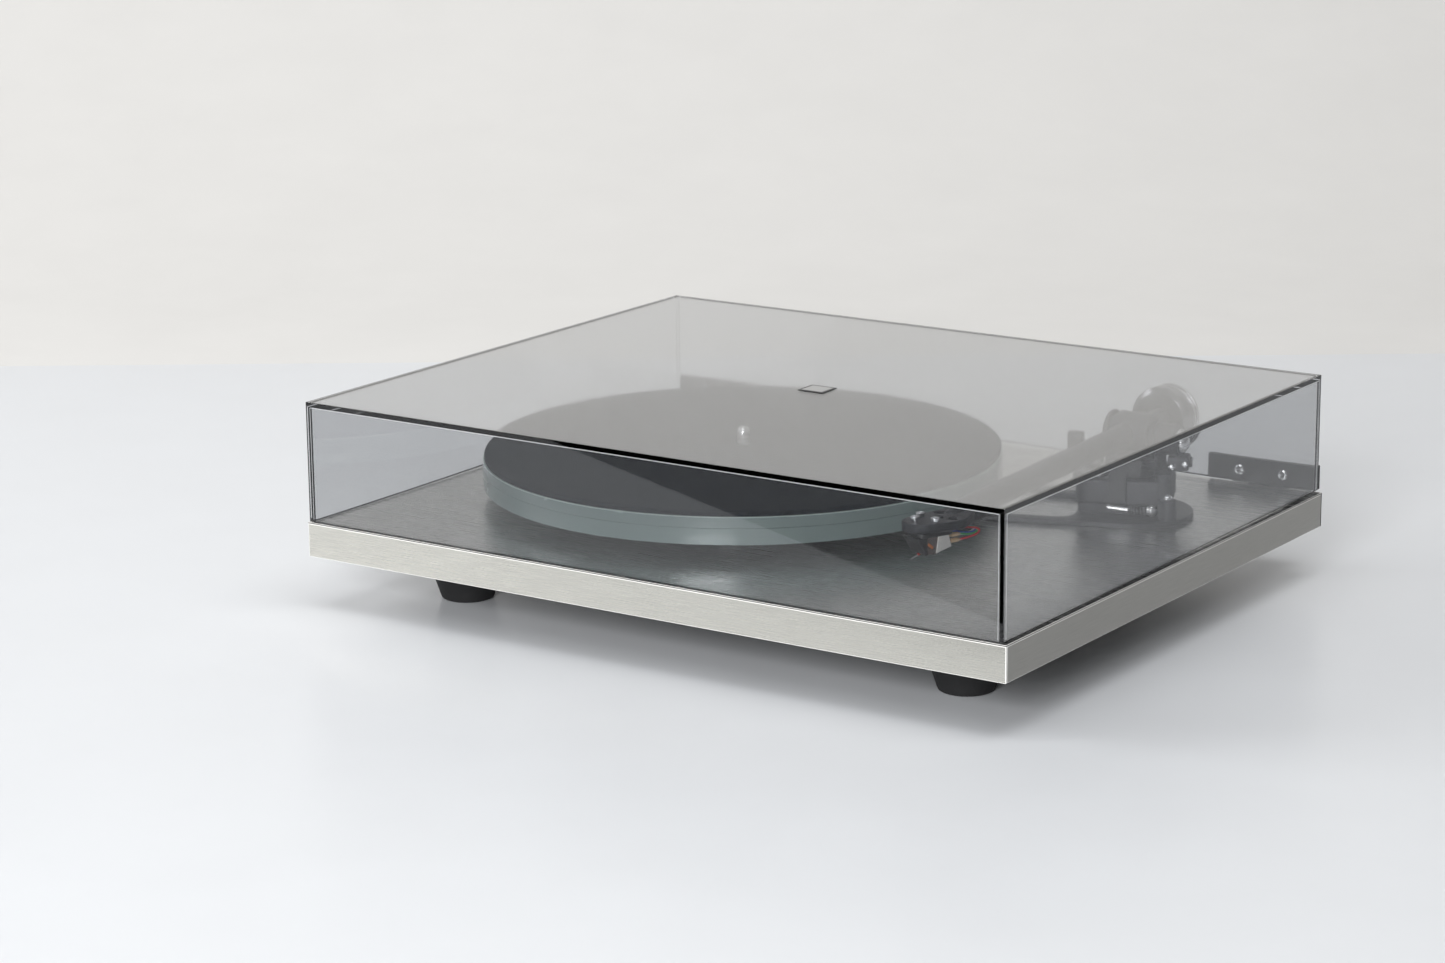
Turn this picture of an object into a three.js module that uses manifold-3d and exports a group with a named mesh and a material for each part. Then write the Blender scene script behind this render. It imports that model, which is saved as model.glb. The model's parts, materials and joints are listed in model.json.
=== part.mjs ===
// Turntable record player with a hinged clear dust cover.
//
// Millimetres, +Z up, the listener's side is -Y and the tonearm is on the right (+X).
// The deck group has its zero in the middle of the plinth's top face. It is lifted by the
// height of the feet and the plinth, so the exported origin is on the table, under the
// middle of the whole object.

import * as THREE from 'three';
import { mergeVertices } from 'three/addons/utils/BufferGeometryUtils.js';
import Module from 'manifold-3d';

const wasm = await Module();
wasm.setup();

// ---------------------------------------------------------------- driving dimensions

const PLINTH = { width: 447, depth: 360, thickness: 19.8 };
const SKIN = 0.7;                 // laminate on the top and bottom faces
const BAND = 0.9;                 // laminate bands around the four edges
const GLUE = 0.05;                // joint line between pieces that lie flat on each other
const GAP = 0.3;                  // running and assembly clearance

const FOOT = { height: 29.7, topRadius: 23.7, waistRadius: 19, soleRadius: 15.7 };
const FOOT_SITES = { front_left: [-163, -115], front_right: [163, -115], rear: [0, 118] };

const COVER = { left: -222.7, right: 221.4, front: -179.4, rear: 178.8, top: 68.5, wall: 3 };
const COVER_LIFT = { front: 0.4, rear: 1.5 };   // slit between the cover's rim and the plinth
const BADGE = { width: 16.5, depth: 15, height: 0.4, y: -3 };

const HINGE = { x: 185.5, axisY: 190, axisZ: -5, barrel: 4.5, pin: 1.8, plateWidth: 70 };
const HINGE_SCREW = { spacing: 27.2, z: 8.5, head: 3, shank: 1.6 };

const HUB = { x: -56, y: 6 };
const PLATTER = { radius: 147.6, bottom: 8.5, seam: 17.6, top: 24, ringInner: 116 };
const MAT = { radius: 146.8, top: 27, hole: 4 };
const SUB_PLATTER = { radius: 55, bottom: 4.2, rimTop: 10.4, deckRadius: 44, top: 17.5 };
const SPINDLE = { radius: 3.55, top: 36, shaft: 5 };
const MOTOR = { x: -122, y: 72, pulley: 8, body: 20 };
const BELT = { bottom: 5.8, top: 8.8, thickness: 0.9 };

const PIVOT = { x: 152.8, y: 81.2 };
const ARM_HEIGHT = 44;            // tonearm axis above the plinth
const ARM_LENGTH = 237;           // pivot to stylus
const ARM_REST_ANGLE = THREE.MathUtils.degToRad(-89.6);
const OFFSET_ANGLE = THREE.MathUtils.degToRad(23.9);
const TUBE_TOE = THREE.MathUtils.degToRad(2.1);
const BASE_ANGLE = THREE.MathUtils.degToRad(20.7);
const ARM_BASE = {
  left: -31, right: 22.6, front: 17.5, rear: 14,
  step: 9, top: 23, shoulder: 13.8, shoulderTop: 27.6, column: 11,
};
const ARM_BASE_SCREW = { x: 21.5, y: -21, seat: 14.5 };
const COUNTERWEIGHT = { radius: 17.7, start: 36, length: 17, stub: 6 };
const STYLUS_DROP = 16;           // stylus tip below the tonearm axis

const YOKE = { left: -10.1, right: 17.5, cheek: 2.5, stem: 5 };   // fork cheeks beside the arm tube

const BRACE = { thickness: 3, halfWidth: 33.5, windowHalf: 26, windowStart: 58, windowEnd: 192 };

// ---------------------------------------------------------------- solid helpers

// Keeps position only, joins shared corners, drops slivers and turns the faces outwards.
function solid(geometry) {
  geometry.deleteAttribute('uv');
  geometry.deleteAttribute('normal');
  const merged = mergeVertices(geometry, 1e-4);
  const index = merged.index.array;
  const kept = [];
  for (let i = 0; i < index.length; i += 3) {
    const [a, b, c] = [index[i], index[i + 1], index[i + 2]];
    if (a !== b && b !== c && c !== a) kept.push(a, b, c);
  }
  if (signedVolume(merged.getAttribute('position'), kept) < 0) kept.reverse();
  merged.setIndex(kept);
  merged.computeVertexNormals();
  return merged;
}

function signedVolume(position, index) {
  const [a, b, c] = [new THREE.Vector3(), new THREE.Vector3(), new THREE.Vector3()];
  let volume = 0;
  for (let i = 0; i < index.length; i += 3) {
    a.fromBufferAttribute(position, index[i]);
    b.fromBufferAttribute(position, index[i + 1]);
    c.fromBufferAttribute(position, index[i + 2]);
    volume += a.dot(b.cross(c)) / 6;
  }
  return volume;
}

function toManifold(geometry) {
  return new wasm.Manifold(new wasm.Mesh({
    numProp: 3,
    vertProperties: new Float32Array(geometry.getAttribute('position').array),
    triVerts: new Uint32Array(geometry.index.array),
  }));
}

function fromManifold(manifold) {
  const mesh = manifold.getMesh();
  const geometry = new THREE.BufferGeometry();
  geometry.setAttribute('position', new THREE.BufferAttribute(mesh.vertProperties, 3));
  geometry.setIndex(new THREE.BufferAttribute(mesh.triVerts, 1));
  geometry.computeVertexNormals();
  return geometry;
}

const join = (first, ...others) =>
  fromManifold(others.reduce((all, next) => all.add(toManifold(next)), toManifold(first)));

const cut = (body, ...tools) =>
  fromManifold(tools.reduce((rest, tool) => rest.subtract(toManifold(tool)), toManifold(body)));

// A box between two corners.
function box(low, high) {
  const size = high.map((value, axis) => value - low[axis]);
  const middle = high.map((value, axis) => (value + low[axis]) / 2);
  return solid(new THREE.BoxGeometry(...size).translate(...middle));
}

// A shape in the XY plane, raised from one height to another.
function plate(shape, low, high, curveSegments = 10) {
  const options = { depth: high - low, bevelEnabled: false, curveSegments };
  return solid(new THREE.ExtrudeGeometry(shape, options).translate(0, 0, low));
}

// A profile of [radius, z] points turned about the Z axis.
function turned(profile, segments = 28) {
  const points = profile.map(([radius, z]) => new THREE.Vector2(radius, z));
  return solid(new THREE.LatheGeometry(points, segments).rotateX(Math.PI / 2));
}

// A closed ring profile: the inner radius follows the bore, the outer one the profile.
function sleeve(inner, outer, low, high, segments = 28) {
  return turned([[inner, low], [outer, low], [outer, high], [inner, high], [inner, low]], segments);
}

function rod(radius, low, high, segments = 16) {
  return turned([[0, low], [radius, low], [radius, high], [0, high]], segments);
}

function polygon(points) {
  return new THREE.Shape(points.map(([x, y]) => new THREE.Vector2(x, y)));
}

function circle(x, y, radius) {
  return new THREE.Path().absarc(x, y, radius, 0, 2 * Math.PI, true);
}

function rectangle(left, front, right, rear) {
  return polygon([[left, front], [right, front], [right, rear], [left, rear]]);
}

function hexagon(acrossFlats) {
  const corner = acrossFlats / Math.sqrt(3);
  const corners = [0, 1, 2, 3, 4, 5].map((i) => i * Math.PI / 3);
  return polygon(corners.map((angle) => [corner * Math.cos(angle), corner * Math.sin(angle)]));
}

// A Z-axis solid laid along +X or +Y.
const alongX = (geometry) => geometry.rotateY(Math.PI / 2);
const alongY = (geometry) => geometry.rotateX(-Math.PI / 2);

// ---------------------------------------------------------------- finishes and nodes

const finish = (color, roughness, metalness, extra = {}) => ({ color, roughness, metalness, ...extra });
const BRUSHED = finish(0xb9b8b0, 0.38, 0.85);
const CORE_FOAM = finish(0x2a2a2a, 0.9, 0);
const BLACK_METAL = finish(0x1c1d20, 0.45, 0.4);
const BLACK_PLASTIC = finish(0x141416, 0.5, 0);
const RUBBER = finish(0x111112, 0.8, 0);
const STEEL = finish(0x9a9b9c, 0.3, 1);
const CHROME = finish(0xd8d9dc, 0.12, 1);
const ALUMINIUM = finish(0xc2c4c6, 0.35, 1);
const BRASS = finish(0xb48a45, 0.35, 1);
const SMOKED = finish(0x6f7276, 0.05, 0, { transparent: true, opacity: 0.35 });
const GLASS = finish(0x9fb8b2, 0.2, 0, { transparent: true, opacity: 0.8 });
const FELT = finish(0x1e2125, 0.95, 0);

function node(group, name, geometry, look) {
  const mesh = new THREE.Mesh(geometry, new THREE.MeshStandardMaterial(look));
  mesh.name = name;
  group.add(mesh);
  return mesh;
}

function subgroup(parent, x, y, z, turn = 0) {
  const group = new THREE.Group();
  group.position.set(x, y, z);
  group.rotation.z = turn;
  parent.add(group);
  return group;
}

// ---------------------------------------------------------------- plinth

const HALF_WIDTH = PLINTH.width / 2;
const HALF_DEPTH = PLINTH.depth / 2;
const UNDERSIDE = -PLINTH.thickness;
const HUB_HOLE = 9 + GAP;
const COLUMN_HOLE = ARM_BASE.column + 0.4;
const MOTOR_POCKET = MOTOR.body + 1;

function pierced(shape, motorHole) {
  shape.holes.push(circle(HUB.x, HUB.y, HUB_HOLE));
  shape.holes.push(circle(PIVOT.x, PIVOT.y, COLUMN_HOLE));
  shape.holes.push(circle(MOTOR.x, MOTOR.y, motorHole));
  return shape;
}

function buildPlinth(deck) {
  const inset = BAND + GLUE;
  const inner = () => rectangle(-HALF_WIDTH + inset, -HALF_DEPTH + inset,
    HALF_WIDTH - inset, HALF_DEPTH - inset);
  const outer = rectangle(-HALF_WIDTH, -HALF_DEPTH, HALF_WIDTH, HALF_DEPTH);
  const bandTop = -SKIN - GLUE;

  node(deck, 'plinth_top_skin', plate(pierced(outer, 3), -SKIN, 0), BRUSHED);
  node(deck, 'plinth_core',
    plate(pierced(inner(), MOTOR_POCKET), UNDERSIDE + SKIN + GLUE, bandTop), CORE_FOAM);
  node(deck, 'plinth_bottom_skin',
    plate(pierced(inner(), MOTOR_POCKET), UNDERSIDE, UNDERSIDE + SKIN), BLACK_PLASTIC);

  const band = (x0, y0, x1, y1) => box([x0, y0, UNDERSIDE], [x1, y1, bandTop]);
  const sideEnd = HALF_DEPTH - inset;
  node(deck, 'edge_band_front', band(-HALF_WIDTH, -HALF_DEPTH, HALF_WIDTH, -HALF_DEPTH + BAND), BRUSHED);
  node(deck, 'edge_band_rear', band(-HALF_WIDTH, HALF_DEPTH - BAND, HALF_WIDTH, HALF_DEPTH), BRUSHED);
  node(deck, 'edge_band_left', band(-HALF_WIDTH, -sideEnd, -HALF_WIDTH + BAND, sideEnd), BRUSHED);
  node(deck, 'edge_band_right', band(HALF_WIDTH - BAND, -sideEnd, HALF_WIDTH, sideEnd), BRUSHED);
}

function buildFeet(deck) {
  const sole = -PLINTH.thickness - FOOT.height;
  const top = UNDERSIDE - GLUE;
  const profile = [
    [0, sole], [FOOT.soleRadius - 2, sole], [FOOT.soleRadius - 0.6, sole + 0.6],
    [FOOT.soleRadius, sole + 2], [FOOT.waistRadius, sole + 12.5],
    [FOOT.topRadius, top - 2], [FOOT.topRadius, top], [0, top],
  ];
  for (const [site, [x, y]] of Object.entries(FOOT_SITES)) {
    node(deck, `foot_${site}`, turned(profile, 24), RUBBER).position.set(x, y, 0);
  }
}

// ---------------------------------------------------------------- braces

// A bar with round ends from the hub to the tonearm, drawn along +X from the hub.
function stadium(length, halfWidth) {
  const shape = new THREE.Shape();
  shape.absarc(0, 0, halfWidth, Math.PI / 2, 1.5 * Math.PI, false);
  shape.absarc(length, 0, halfWidth, -Math.PI / 2, Math.PI / 2, false);
  return shape;
}

function buildBraces(deck) {
  const span = Math.hypot(PIVOT.x - HUB.x, PIVOT.y - HUB.y);
  const turn = Math.atan2(PIVOT.y - HUB.y, PIVOT.x - HUB.x);
  const line = subgroup(deck, HUB.x, HUB.y, 0, turn);

  const topShape = stadium(span, BRACE.halfWidth);
  const corner = 10;
  const { windowStart: start, windowEnd: end, windowHalf: half } = BRACE;
  const window = new THREE.Path();
  window.absarc(start + corner, half - corner, corner, Math.PI / 2, Math.PI, false);
  window.absarc(start + corner, corner - half, corner, Math.PI, 1.5 * Math.PI, false);
  window.absarc(end - corner, corner - half, corner, 1.5 * Math.PI, 2 * Math.PI, false);
  window.absarc(end - corner, half - corner, corner, 0, Math.PI / 2, false);
  topShape.holes.push(window, circle(0, 0, 14 + GAP), circle(span, 0, COLUMN_HOLE));
  node(line, 'top_brace', plate(topShape, GLUE, BRACE.thickness), BLACK_METAL);

  const bottomShape = stadium(span, 22);
  bottomShape.holes.push(circle(0, 0, HUB_HOLE), circle(span, 0, COLUMN_HOLE));
  node(line, 'bottom_brace', plate(bottomShape, UNDERSIDE - 2.1, UNDERSIDE - 0.1), ALUMINIUM);
}

// ---------------------------------------------------------------- drive and platter

function buildHub(deck) {
  const hub = subgroup(deck, HUB.x, HUB.y, 0);
  const bore = SPINDLE.shaft + GAP;
  node(hub, 'hub_bearing_housing', turned([
    [0, -26], [9, -26], [9, 0.1], [14, 0.1], [14, 3.2], [bore, 3.2], [bore, -23.5], [0, -23.5],
  ]), BRASS);

  const nut = hexagon(27);
  nut.holes.push(circle(0, 0, HUB_HOLE));
  node(hub, 'hub_bearing_nut', plate(nut, UNDERSIDE - 5.4, UNDERSIDE - 2.4), STEEL);

  const shaft = SPINDLE.shaft;
  const shoulder = SUB_PLATTER.top;
  node(hub, 'spindle', turned([
    [0, -23.2], [shaft, -23.2], [shaft, shoulder], [SPINDLE.radius, shoulder],
    [SPINDLE.radius, SPINDLE.top - 3], [SPINDLE.radius * 0.86, SPINDLE.top - 1.2],
    [SPINDLE.radius * 0.45, SPINDLE.top - 0.2], [0, SPINDLE.top],
  ], 20), STEEL);

  const { radius, bottom, rimTop, deckRadius, top } = SUB_PLATTER;
  node(hub, 'sub_platter', turned([
    [bore, bottom], [radius, bottom], [radius, BELT.bottom - 0.4], [radius - 0.8, BELT.bottom],
    [radius - 0.8, BELT.top], [radius, BELT.top + 0.4], [radius, rimTop], [deckRadius, rimTop + 2],
    [deckRadius, top], [bore, top], [bore, bottom],
  ], 36), ALUMINIUM);

  const spindleHole = SPINDLE.radius + GAP;
  node(hub, 'platter_ring',
    sleeve(PLATTER.ringInner, PLATTER.radius, PLATTER.bottom, PLATTER.seam, 60), GLASS);
  node(hub, 'platter_disc',
    sleeve(spindleHole, PLATTER.radius, PLATTER.seam + GLUE, PLATTER.top, 60), GLASS);
  node(hub, 'platter_mat', sleeve(MAT.hole, MAT.radius, PLATTER.top + GLUE, MAT.top, 60), FELT);
}

function buildMotor(deck) {
  const motor = subgroup(deck, MOTOR.x, MOTOR.y, 0);
  node(motor, 'motor_body', turned([
    [0, -26], [MOTOR.body - 1.5, -26], [MOTOR.body, -24.5], [MOTOR.body, -2.7],
    [MOTOR.body - 1.5, -1.2], [0, -1.2],
  ]), STEEL);
  const rim = MOTOR.body + 0.8;
  const flange = UNDERSIDE - 0.1;
  node(motor, 'motor_cover', turned([
    [0, -29.5], [rim + 1, -29.5], [rim + 2, -28.5], [rim + 2, flange - 1.4], [29, flange - 1.4],
    [29, flange], [rim, flange], [rim, -28], [0, -28],
  ]), BLACK_PLASTIC);
  node(motor, 'motor_pulley', turned([
    [0, -0.9], [1.6, -0.9], [1.6, 3.4], [MOTOR.pulley, 3.4], [MOTOR.pulley, BELT.bottom - 0.4],
    [MOTOR.pulley - 0.8, BELT.bottom], [MOTOR.pulley - 0.8, BELT.top],
    [MOTOR.pulley, BELT.top + 0.4], [MOTOR.pulley, 11.4], [MOTOR.pulley - 0.6, 12], [0, 12],
  ], 20), ALUMINIUM);

  const distance = Math.hypot(MOTOR.x - HUB.x, MOTOR.y - HUB.y);
  const loop = beltPath(distance, GAP - 0.8 + BELT.thickness);
  loop.holes.push(beltPath(distance, GAP - 0.8));
  const turn = Math.atan2(MOTOR.y - HUB.y, MOTOR.x - HUB.x);
  const run = subgroup(deck, HUB.x, HUB.y, 0, turn);
  node(run, 'drive_belt', plate(loop, BELT.bottom + 0.3, BELT.top - 0.3, 24), RUBBER);
}

// The belt leaves each pulley where the common outer tangent touches it.
function beltPath(distance, offset) {
  const large = SUB_PLATTER.radius + offset;
  const small = MOTOR.pulley + offset;
  const lean = Math.acos((large - small) / distance);
  const path = new THREE.Shape();
  path.absarc(distance, 0, small, -lean, lean, false);
  path.absarc(0, 0, large, lean, 2 * Math.PI - lean, false);
  return path;
}

// ---------------------------------------------------------------- sockets under the plinth

function buildSockets(deck) {
  const top = UNDERSIDE - 0.1;
  const low = top - 11;
  const housing = box([-11, -9, low], [11, 9, top]);
  const jack = alongY(rod(2.8, -1, 12)).translate(0, 0, (low + top) / 2);
  node(deck, 'power_socket', cut(housing, jack), BLACK_PLASTIC).position.set(-150, 166, 0);

  const gland = turned([[2.6, top - 7], [5, top - 7], [6, top - 2.5], [8, top - 2.5], [8, top],
    [2.6, top], [2.6, top - 7]], 20);
  node(deck, 'cable_gland', gland, BLACK_PLASTIC).position.set(118, 140, 0);
}

// ---------------------------------------------------------------- dust cover and hinges

function coverBlock(left, right, front, rear, top, rimFront, rimRear) {
  const side = polygon([[front, rimFront], [rear, rimRear], [rear, top], [front, top]]);
  const geometry = new THREE.ExtrudeGeometry(side, { depth: right - left, bevelEnabled: false });
  return solid(geometry.rotateX(Math.PI / 2).rotateZ(Math.PI / 2).translate(left, 0, 0));
}

function buildCover(deck) {
  const { left, right, front, rear, top, wall } = COVER;
  const outside = coverBlock(left, right, front, rear, top, COVER_LIFT.front, COVER_LIFT.rear);
  const inside = coverBlock(left + wall, right - wall, front + wall, rear - wall, top - wall, -5, -5);
  const screwHoles = hingeScrewSites().map(({ x }) =>
    alongY(rod(HINGE_SCREW.shank + GAP, rear - wall - 2, rear + 2)).translate(x, 0, HINGE_SCREW.z));
  node(deck, 'dust_cover', cut(outside, inside, ...screwHoles), SMOKED);

  const { width, depth, height, y } = BADGE;
  const badgeBase = top + GLUE;
  node(deck, 'cover_badge', box([-width / 2, y - depth / 2, badgeBase],
    [width / 2, y + depth / 2, badgeBase + height]), ALUMINIUM);
}

function hingeScrewSites() {
  const sites = [];
  for (const [side, sign] of [['left', -1], ['right', 1]]) {
    for (const [place, step] of [['outer', 1], ['inner', -1]]) {
      sites.push({ name: `${side}_${place}`, x: sign * (HINGE.x + step * HINGE_SCREW.spacing / 2) });
    }
  }
  return sites;
}

// The cover's half of a hinge: a plate behind the rear wall and a knuckle on the pin.
function coverHinge() {
  const face = COVER.rear + GAP;
  const half = HINGE.plateWidth / 2;
  const leaf = box([-half, face, COVER_LIFT.rear - 0.5], [half, face + 4, 15]);
  const knuckle = polygon([
    [face + 1, 3], [HINGE.axisY - 4, HINGE.axisZ - 1.5], [HINGE.axisY - 1.5, HINGE.axisZ - 4],
    [HINGE.axisY + 2, HINGE.axisZ - 4], [HINGE.axisY + 4.2, HINGE.axisZ - 1],
    [HINGE.axisY + 4.2, HINGE.axisZ + 2], [face + 7, 9], [face + 1, 9],
  ]);
  const solidKnuckle = sideways(knuckle, -11, 11);
  const pinHole = alongX(rod(HINGE.pin + GAP, -20, 20)).translate(0, HINGE.axisY, HINGE.axisZ);
  const holes = [-1, 1].map((side) => alongY(rod(HINGE_SCREW.shank + GAP, face - 2, face + 8))
    .translate(side * HINGE_SCREW.spacing / 2, 0, HINGE_SCREW.z));
  return cut(join(leaf, solidKnuckle), pinHole, ...holes);
}

// The plinth's half: a plate on the rear edge with an ear on each side of the knuckle.
function plinthHinge() {
  const face = HALF_DEPTH + 0.2;
  const back = box([-23, face, -18], [23, face + 3, -2.5]);
  const reach = HINGE.axisY;
  const ear = polygon([
    [face + 1, HINGE.axisZ + 3], [reach - 2, HINGE.axisZ + 4.2], [reach + 2, HINGE.axisZ + 4.2],
    [reach + HINGE.barrel, HINGE.axisZ + 1.5], [reach + HINGE.barrel, HINGE.axisZ - 2],
    [reach + 1.5, HINGE.axisZ - 5], [face + 1, -16],
  ]);
  const pinHole = alongX(rod(HINGE.pin + GAP, -24, 24)).translate(0, HINGE.axisY, HINGE.axisZ);
  return cut(join(back, sideways(ear, -23, -11.6), sideways(ear, 11.6, 23)), pinHole);
}

// A shape drawn in (y, z), pushed out along X between two values.
function sideways(shape, low, high) {
  const geometry = new THREE.ExtrudeGeometry(shape, { depth: high - low, bevelEnabled: false });
  return solid(geometry.rotateX(Math.PI / 2).rotateZ(Math.PI / 2).translate(low, 0, 0));
}

function buildHinges(deck) {
  for (const [side, sign] of [['left', -1], ['right', 1]]) {
    const group = subgroup(deck, sign * HINGE.x, 0, 0);
    node(group, `cover_hinge_${side}`, coverHinge(), BLACK_PLASTIC);
    node(group, `hinge_bracket_${side}`, plinthHinge(), BLACK_PLASTIC);
    const pin = alongX(rod(HINGE.pin, -22.5, 22.5)).translate(0, HINGE.axisY, HINGE.axisZ);
    node(group, `hinge_pin_${side}`, pin, STEEL);
  }
  const inner = COVER.rear - COVER.wall - GAP / 2;
  for (const { name, x } of hingeScrewSites()) {
    const { head, shank } = HINGE_SCREW;
    const screw = alongY(turned([
      [0, inner - 1.8], [head * 0.7, inner - 1.5], [head, inner - 0.5], [head, inner],
      [shank, inner], [shank, inner + 7], [0, inner + 7],
    ], 14));
    node(deck, `hinge_screw_${name}`, screw, CHROME).position.set(x, 0, HINGE_SCREW.z);
  }
}

// ---------------------------------------------------------------- tonearm base
// Drawn with +X along the block's front face and -Y towards the listener.

function buildArmBase(deck) {
  const base = subgroup(deck, PIVOT.x, PIVOT.y, 0, BASE_ANGLE);
  const { left, right, front, rear, step, top, shoulder, shoulderTop, column } = ARM_BASE;
  const { x: screwX, y: screwY, seat } = ARM_BASE_SCREW;
  const foot = BRACE.thickness + GLUE;
  const block = plate(roundedBlock(left, -front, right, rear, 4), step, top, 6);
  const raised = plate(roundedBlock(shoulder, -front, right, rear, 4), top - 1, shoulderTop, 6);
  const plinthBlock = box([left + 1.5, -front + 3, foot], [right - 1, rear - 0.5, step + 1]);
  const boss = rod(5, foot, seat).translate(screwX, screwY, 0);
  const mount = rod(column, -28, foot + 2, 28);
  const leadWay = rod(5, -29, step - 1);
  const bearingWell = rod(6 + GAP, 11, top + 1, 20);
  const liftWell = rod(3 + GAP, step, top + 1).translate(-17.5, -9.7, 0);
  node(base, 'arm_base',
    cut(join(block, raised, plinthBlock, boss, mount), leadWay, bearingWell, liftWell), BLACK_METAL);

  const screw = turned([[0, 0], [2.9, 0], [2.9, 1], [2.2, 1.8], [0, 2]], 14);
  node(base, 'arm_base_screw', screw, CHROME).position.set(screwX, screwY, seat + GAP);

  const nut = hexagon(33);
  nut.holes.push(circle(0, 0, COLUMN_HOLE));
  node(base, 'arm_mount_nut', plate(nut, UNDERSIDE - 5.9, UNDERSIDE - 2.4), STEEL);

  const restFront = -front - 2.8;
  const restPost = box([-11, restFront, 12], [-1.5, -front - GAP, shoulderTop]);
  const restPad = box([-11.5, restFront, 26], [6.5, restFront + 1.8, 35.4]);
  node(base, 'arm_rest', join(restPost, restPad), BLACK_PLASTIC);

  buildBias(base, shoulderTop);
  buildCueing(base);
}

function roundedBlock(left, front, right, rear, radius) {
  const shape = new THREE.Shape();
  shape.absarc(left + radius, front + radius, radius, Math.PI, 1.5 * Math.PI, false);
  shape.absarc(right - radius, front + radius, radius, 1.5 * Math.PI, 2 * Math.PI, false);
  shape.absarc(right - radius, rear - radius, radius, 0, Math.PI / 2, false);
  shape.absarc(left + radius, rear - radius, radius, Math.PI / 2, Math.PI, false);
  return shape;
}

// The side-force adjuster: a bar at the right of the block with a pull slider in its end.
function buildBias(base, blockTop) {
  const low = blockTop + GAP;
  const high = 35.5;
  const start = 19.8;
  const end = 31.2;
  const axis = 31.8;
  const bar = box([start, -9, low], [end, 3, high]);
  const bore = alongX(rod(2 + GAP, start + 3.5, end + 1)).translate(0, -3, axis);
  node(base, 'bias_housing', cut(bar, bore), BLACK_METAL);
  const slider = alongX(turned([
    [0, start + 4], [2, start + 4], [2, end + GAP], [2.9, end + GAP], [2.9, end + 1.5], [0, end + 1.5],
  ], 14));
  node(base, 'bias_slider', slider, BLACK_PLASTIC).position.set(0, -3, axis);
}

// The lever turns on the block's front face and raises a curved platform under the tube.
function buildCueing(base) {
  const stem = alongX(turned([
    [0, -3.2], [2, -2.5], [3.2, -0.4], [3.2, 0.4], [2.4, 2.2], [1.6, 3], [2.3, 3.6], [2.3, 10.8],
    [3, 11.2], [3, 12.8], [0, 13.2],
  ], 14)).rotateY(Math.PI - 0.02);
  const finger = alongX(turned([[0, 0], [1.3, 0], [1.3, 11.6], [0.8, 12.2], [0, 12.2]], 12))
    .rotateY(Math.PI + 0.1).translate(-12.6, 0, -0.2);
  const pivotPin = alongY(rod(1.6, 0.5, 4.2, 12));
  node(base, 'cue_lever', join(stem, finger, pivotPin), CHROME).position.set(13, -22, 8);

  const fromAngle = -1.93;
  const toAngle = -3.29;
  const arc = new THREE.Shape();
  arc.absarc(0, 0, 33, toAngle, fromAngle, false);
  arc.absarc(0, 0, 28, fromAngle, toAngle, true);
  const runner = plate(arc, 28.3, 31.4, 8);
  const web = box([-30, -2.5, 28.3], [-17, 2.5, 30.6]).rotateZ(0.506);
  const stop = box([-36, -1.5, 28.3], [-27.5, 5, 41.9]).rotateZ(-0.096);
  const column = rod(3, ARM_BASE.step + GAP, 30).translate(-17.5, -9.7, 0);
  node(base, 'lift_platform', join(runner, web, stop, column), BLACK_PLASTIC);
}

// ---------------------------------------------------------------- tonearm
// Drawn at the bearing, with +X towards the stylus and +Y away from the platter.

function buildTonearm(deck) {
  const arm = subgroup(deck, PIVOT.x, PIVOT.y, ARM_HEIGHT, ARM_REST_ANGLE);
  buildYoke(arm);
  node(arm, 'arm_tube', armTube(), BLACK_METAL);
  buildCounterweight(arm);

  const head = subgroup(arm, ARM_LENGTH, 0, 0, -OFFSET_ANGLE);
  buildCartridge(head);
}

function buildYoke(arm) {
  const floor = ARM_BASE.top + GAP - ARM_HEIGHT;
  const bed = -16;
  const turntableDisc = rod(12.5, floor, bed + 2, 28);
  const spindle = rod(6, 11.5 - ARM_HEIGHT, floor + 1, 20);
  const bar = box([-YOKE.stem, YOKE.left, bed], [YOKE.stem, YOKE.right, -12.2]);
  const cheeks = [[YOKE.left, YOKE.left + YOKE.cheek], [YOKE.right - YOKE.cheek, YOKE.right]]
    .map(([low, high]) => join(
      box([-YOKE.stem, low, bed], [YOKE.stem, high, 0]), alongY(rod(9, low, high, 24))));
  const boss = alongY(rod(7.5, YOKE.right - 1, 29.5, 24));
  const journal = alongY(rod(3 + GAP, -14, 31, 12));
  node(arm, 'arm_yoke', cut(join(turntableDisc, spindle, bar, ...cheeks, boss), journal), BLACK_METAL);

  node(arm, 'bearing_cap', alongY(turned([
    [0, 21], [3, 21], [3, 29.8], [5.2, 29.8], [5.2, 30.8], [4, 32.2], [2, 32.9], [0, 33],
  ], 16)), CHROME);

  const dial = YOKE.left - GAP;
  node(arm, 'tracking_dial', alongY(turned([
    [0, dial - 2.4], [10, dial - 2.4], [11.4, dial - 1.6], [11.4, dial - 0.5], [10.8, dial], [0, dial],
  ], 28)), BLACK_METAL);
}

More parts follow.
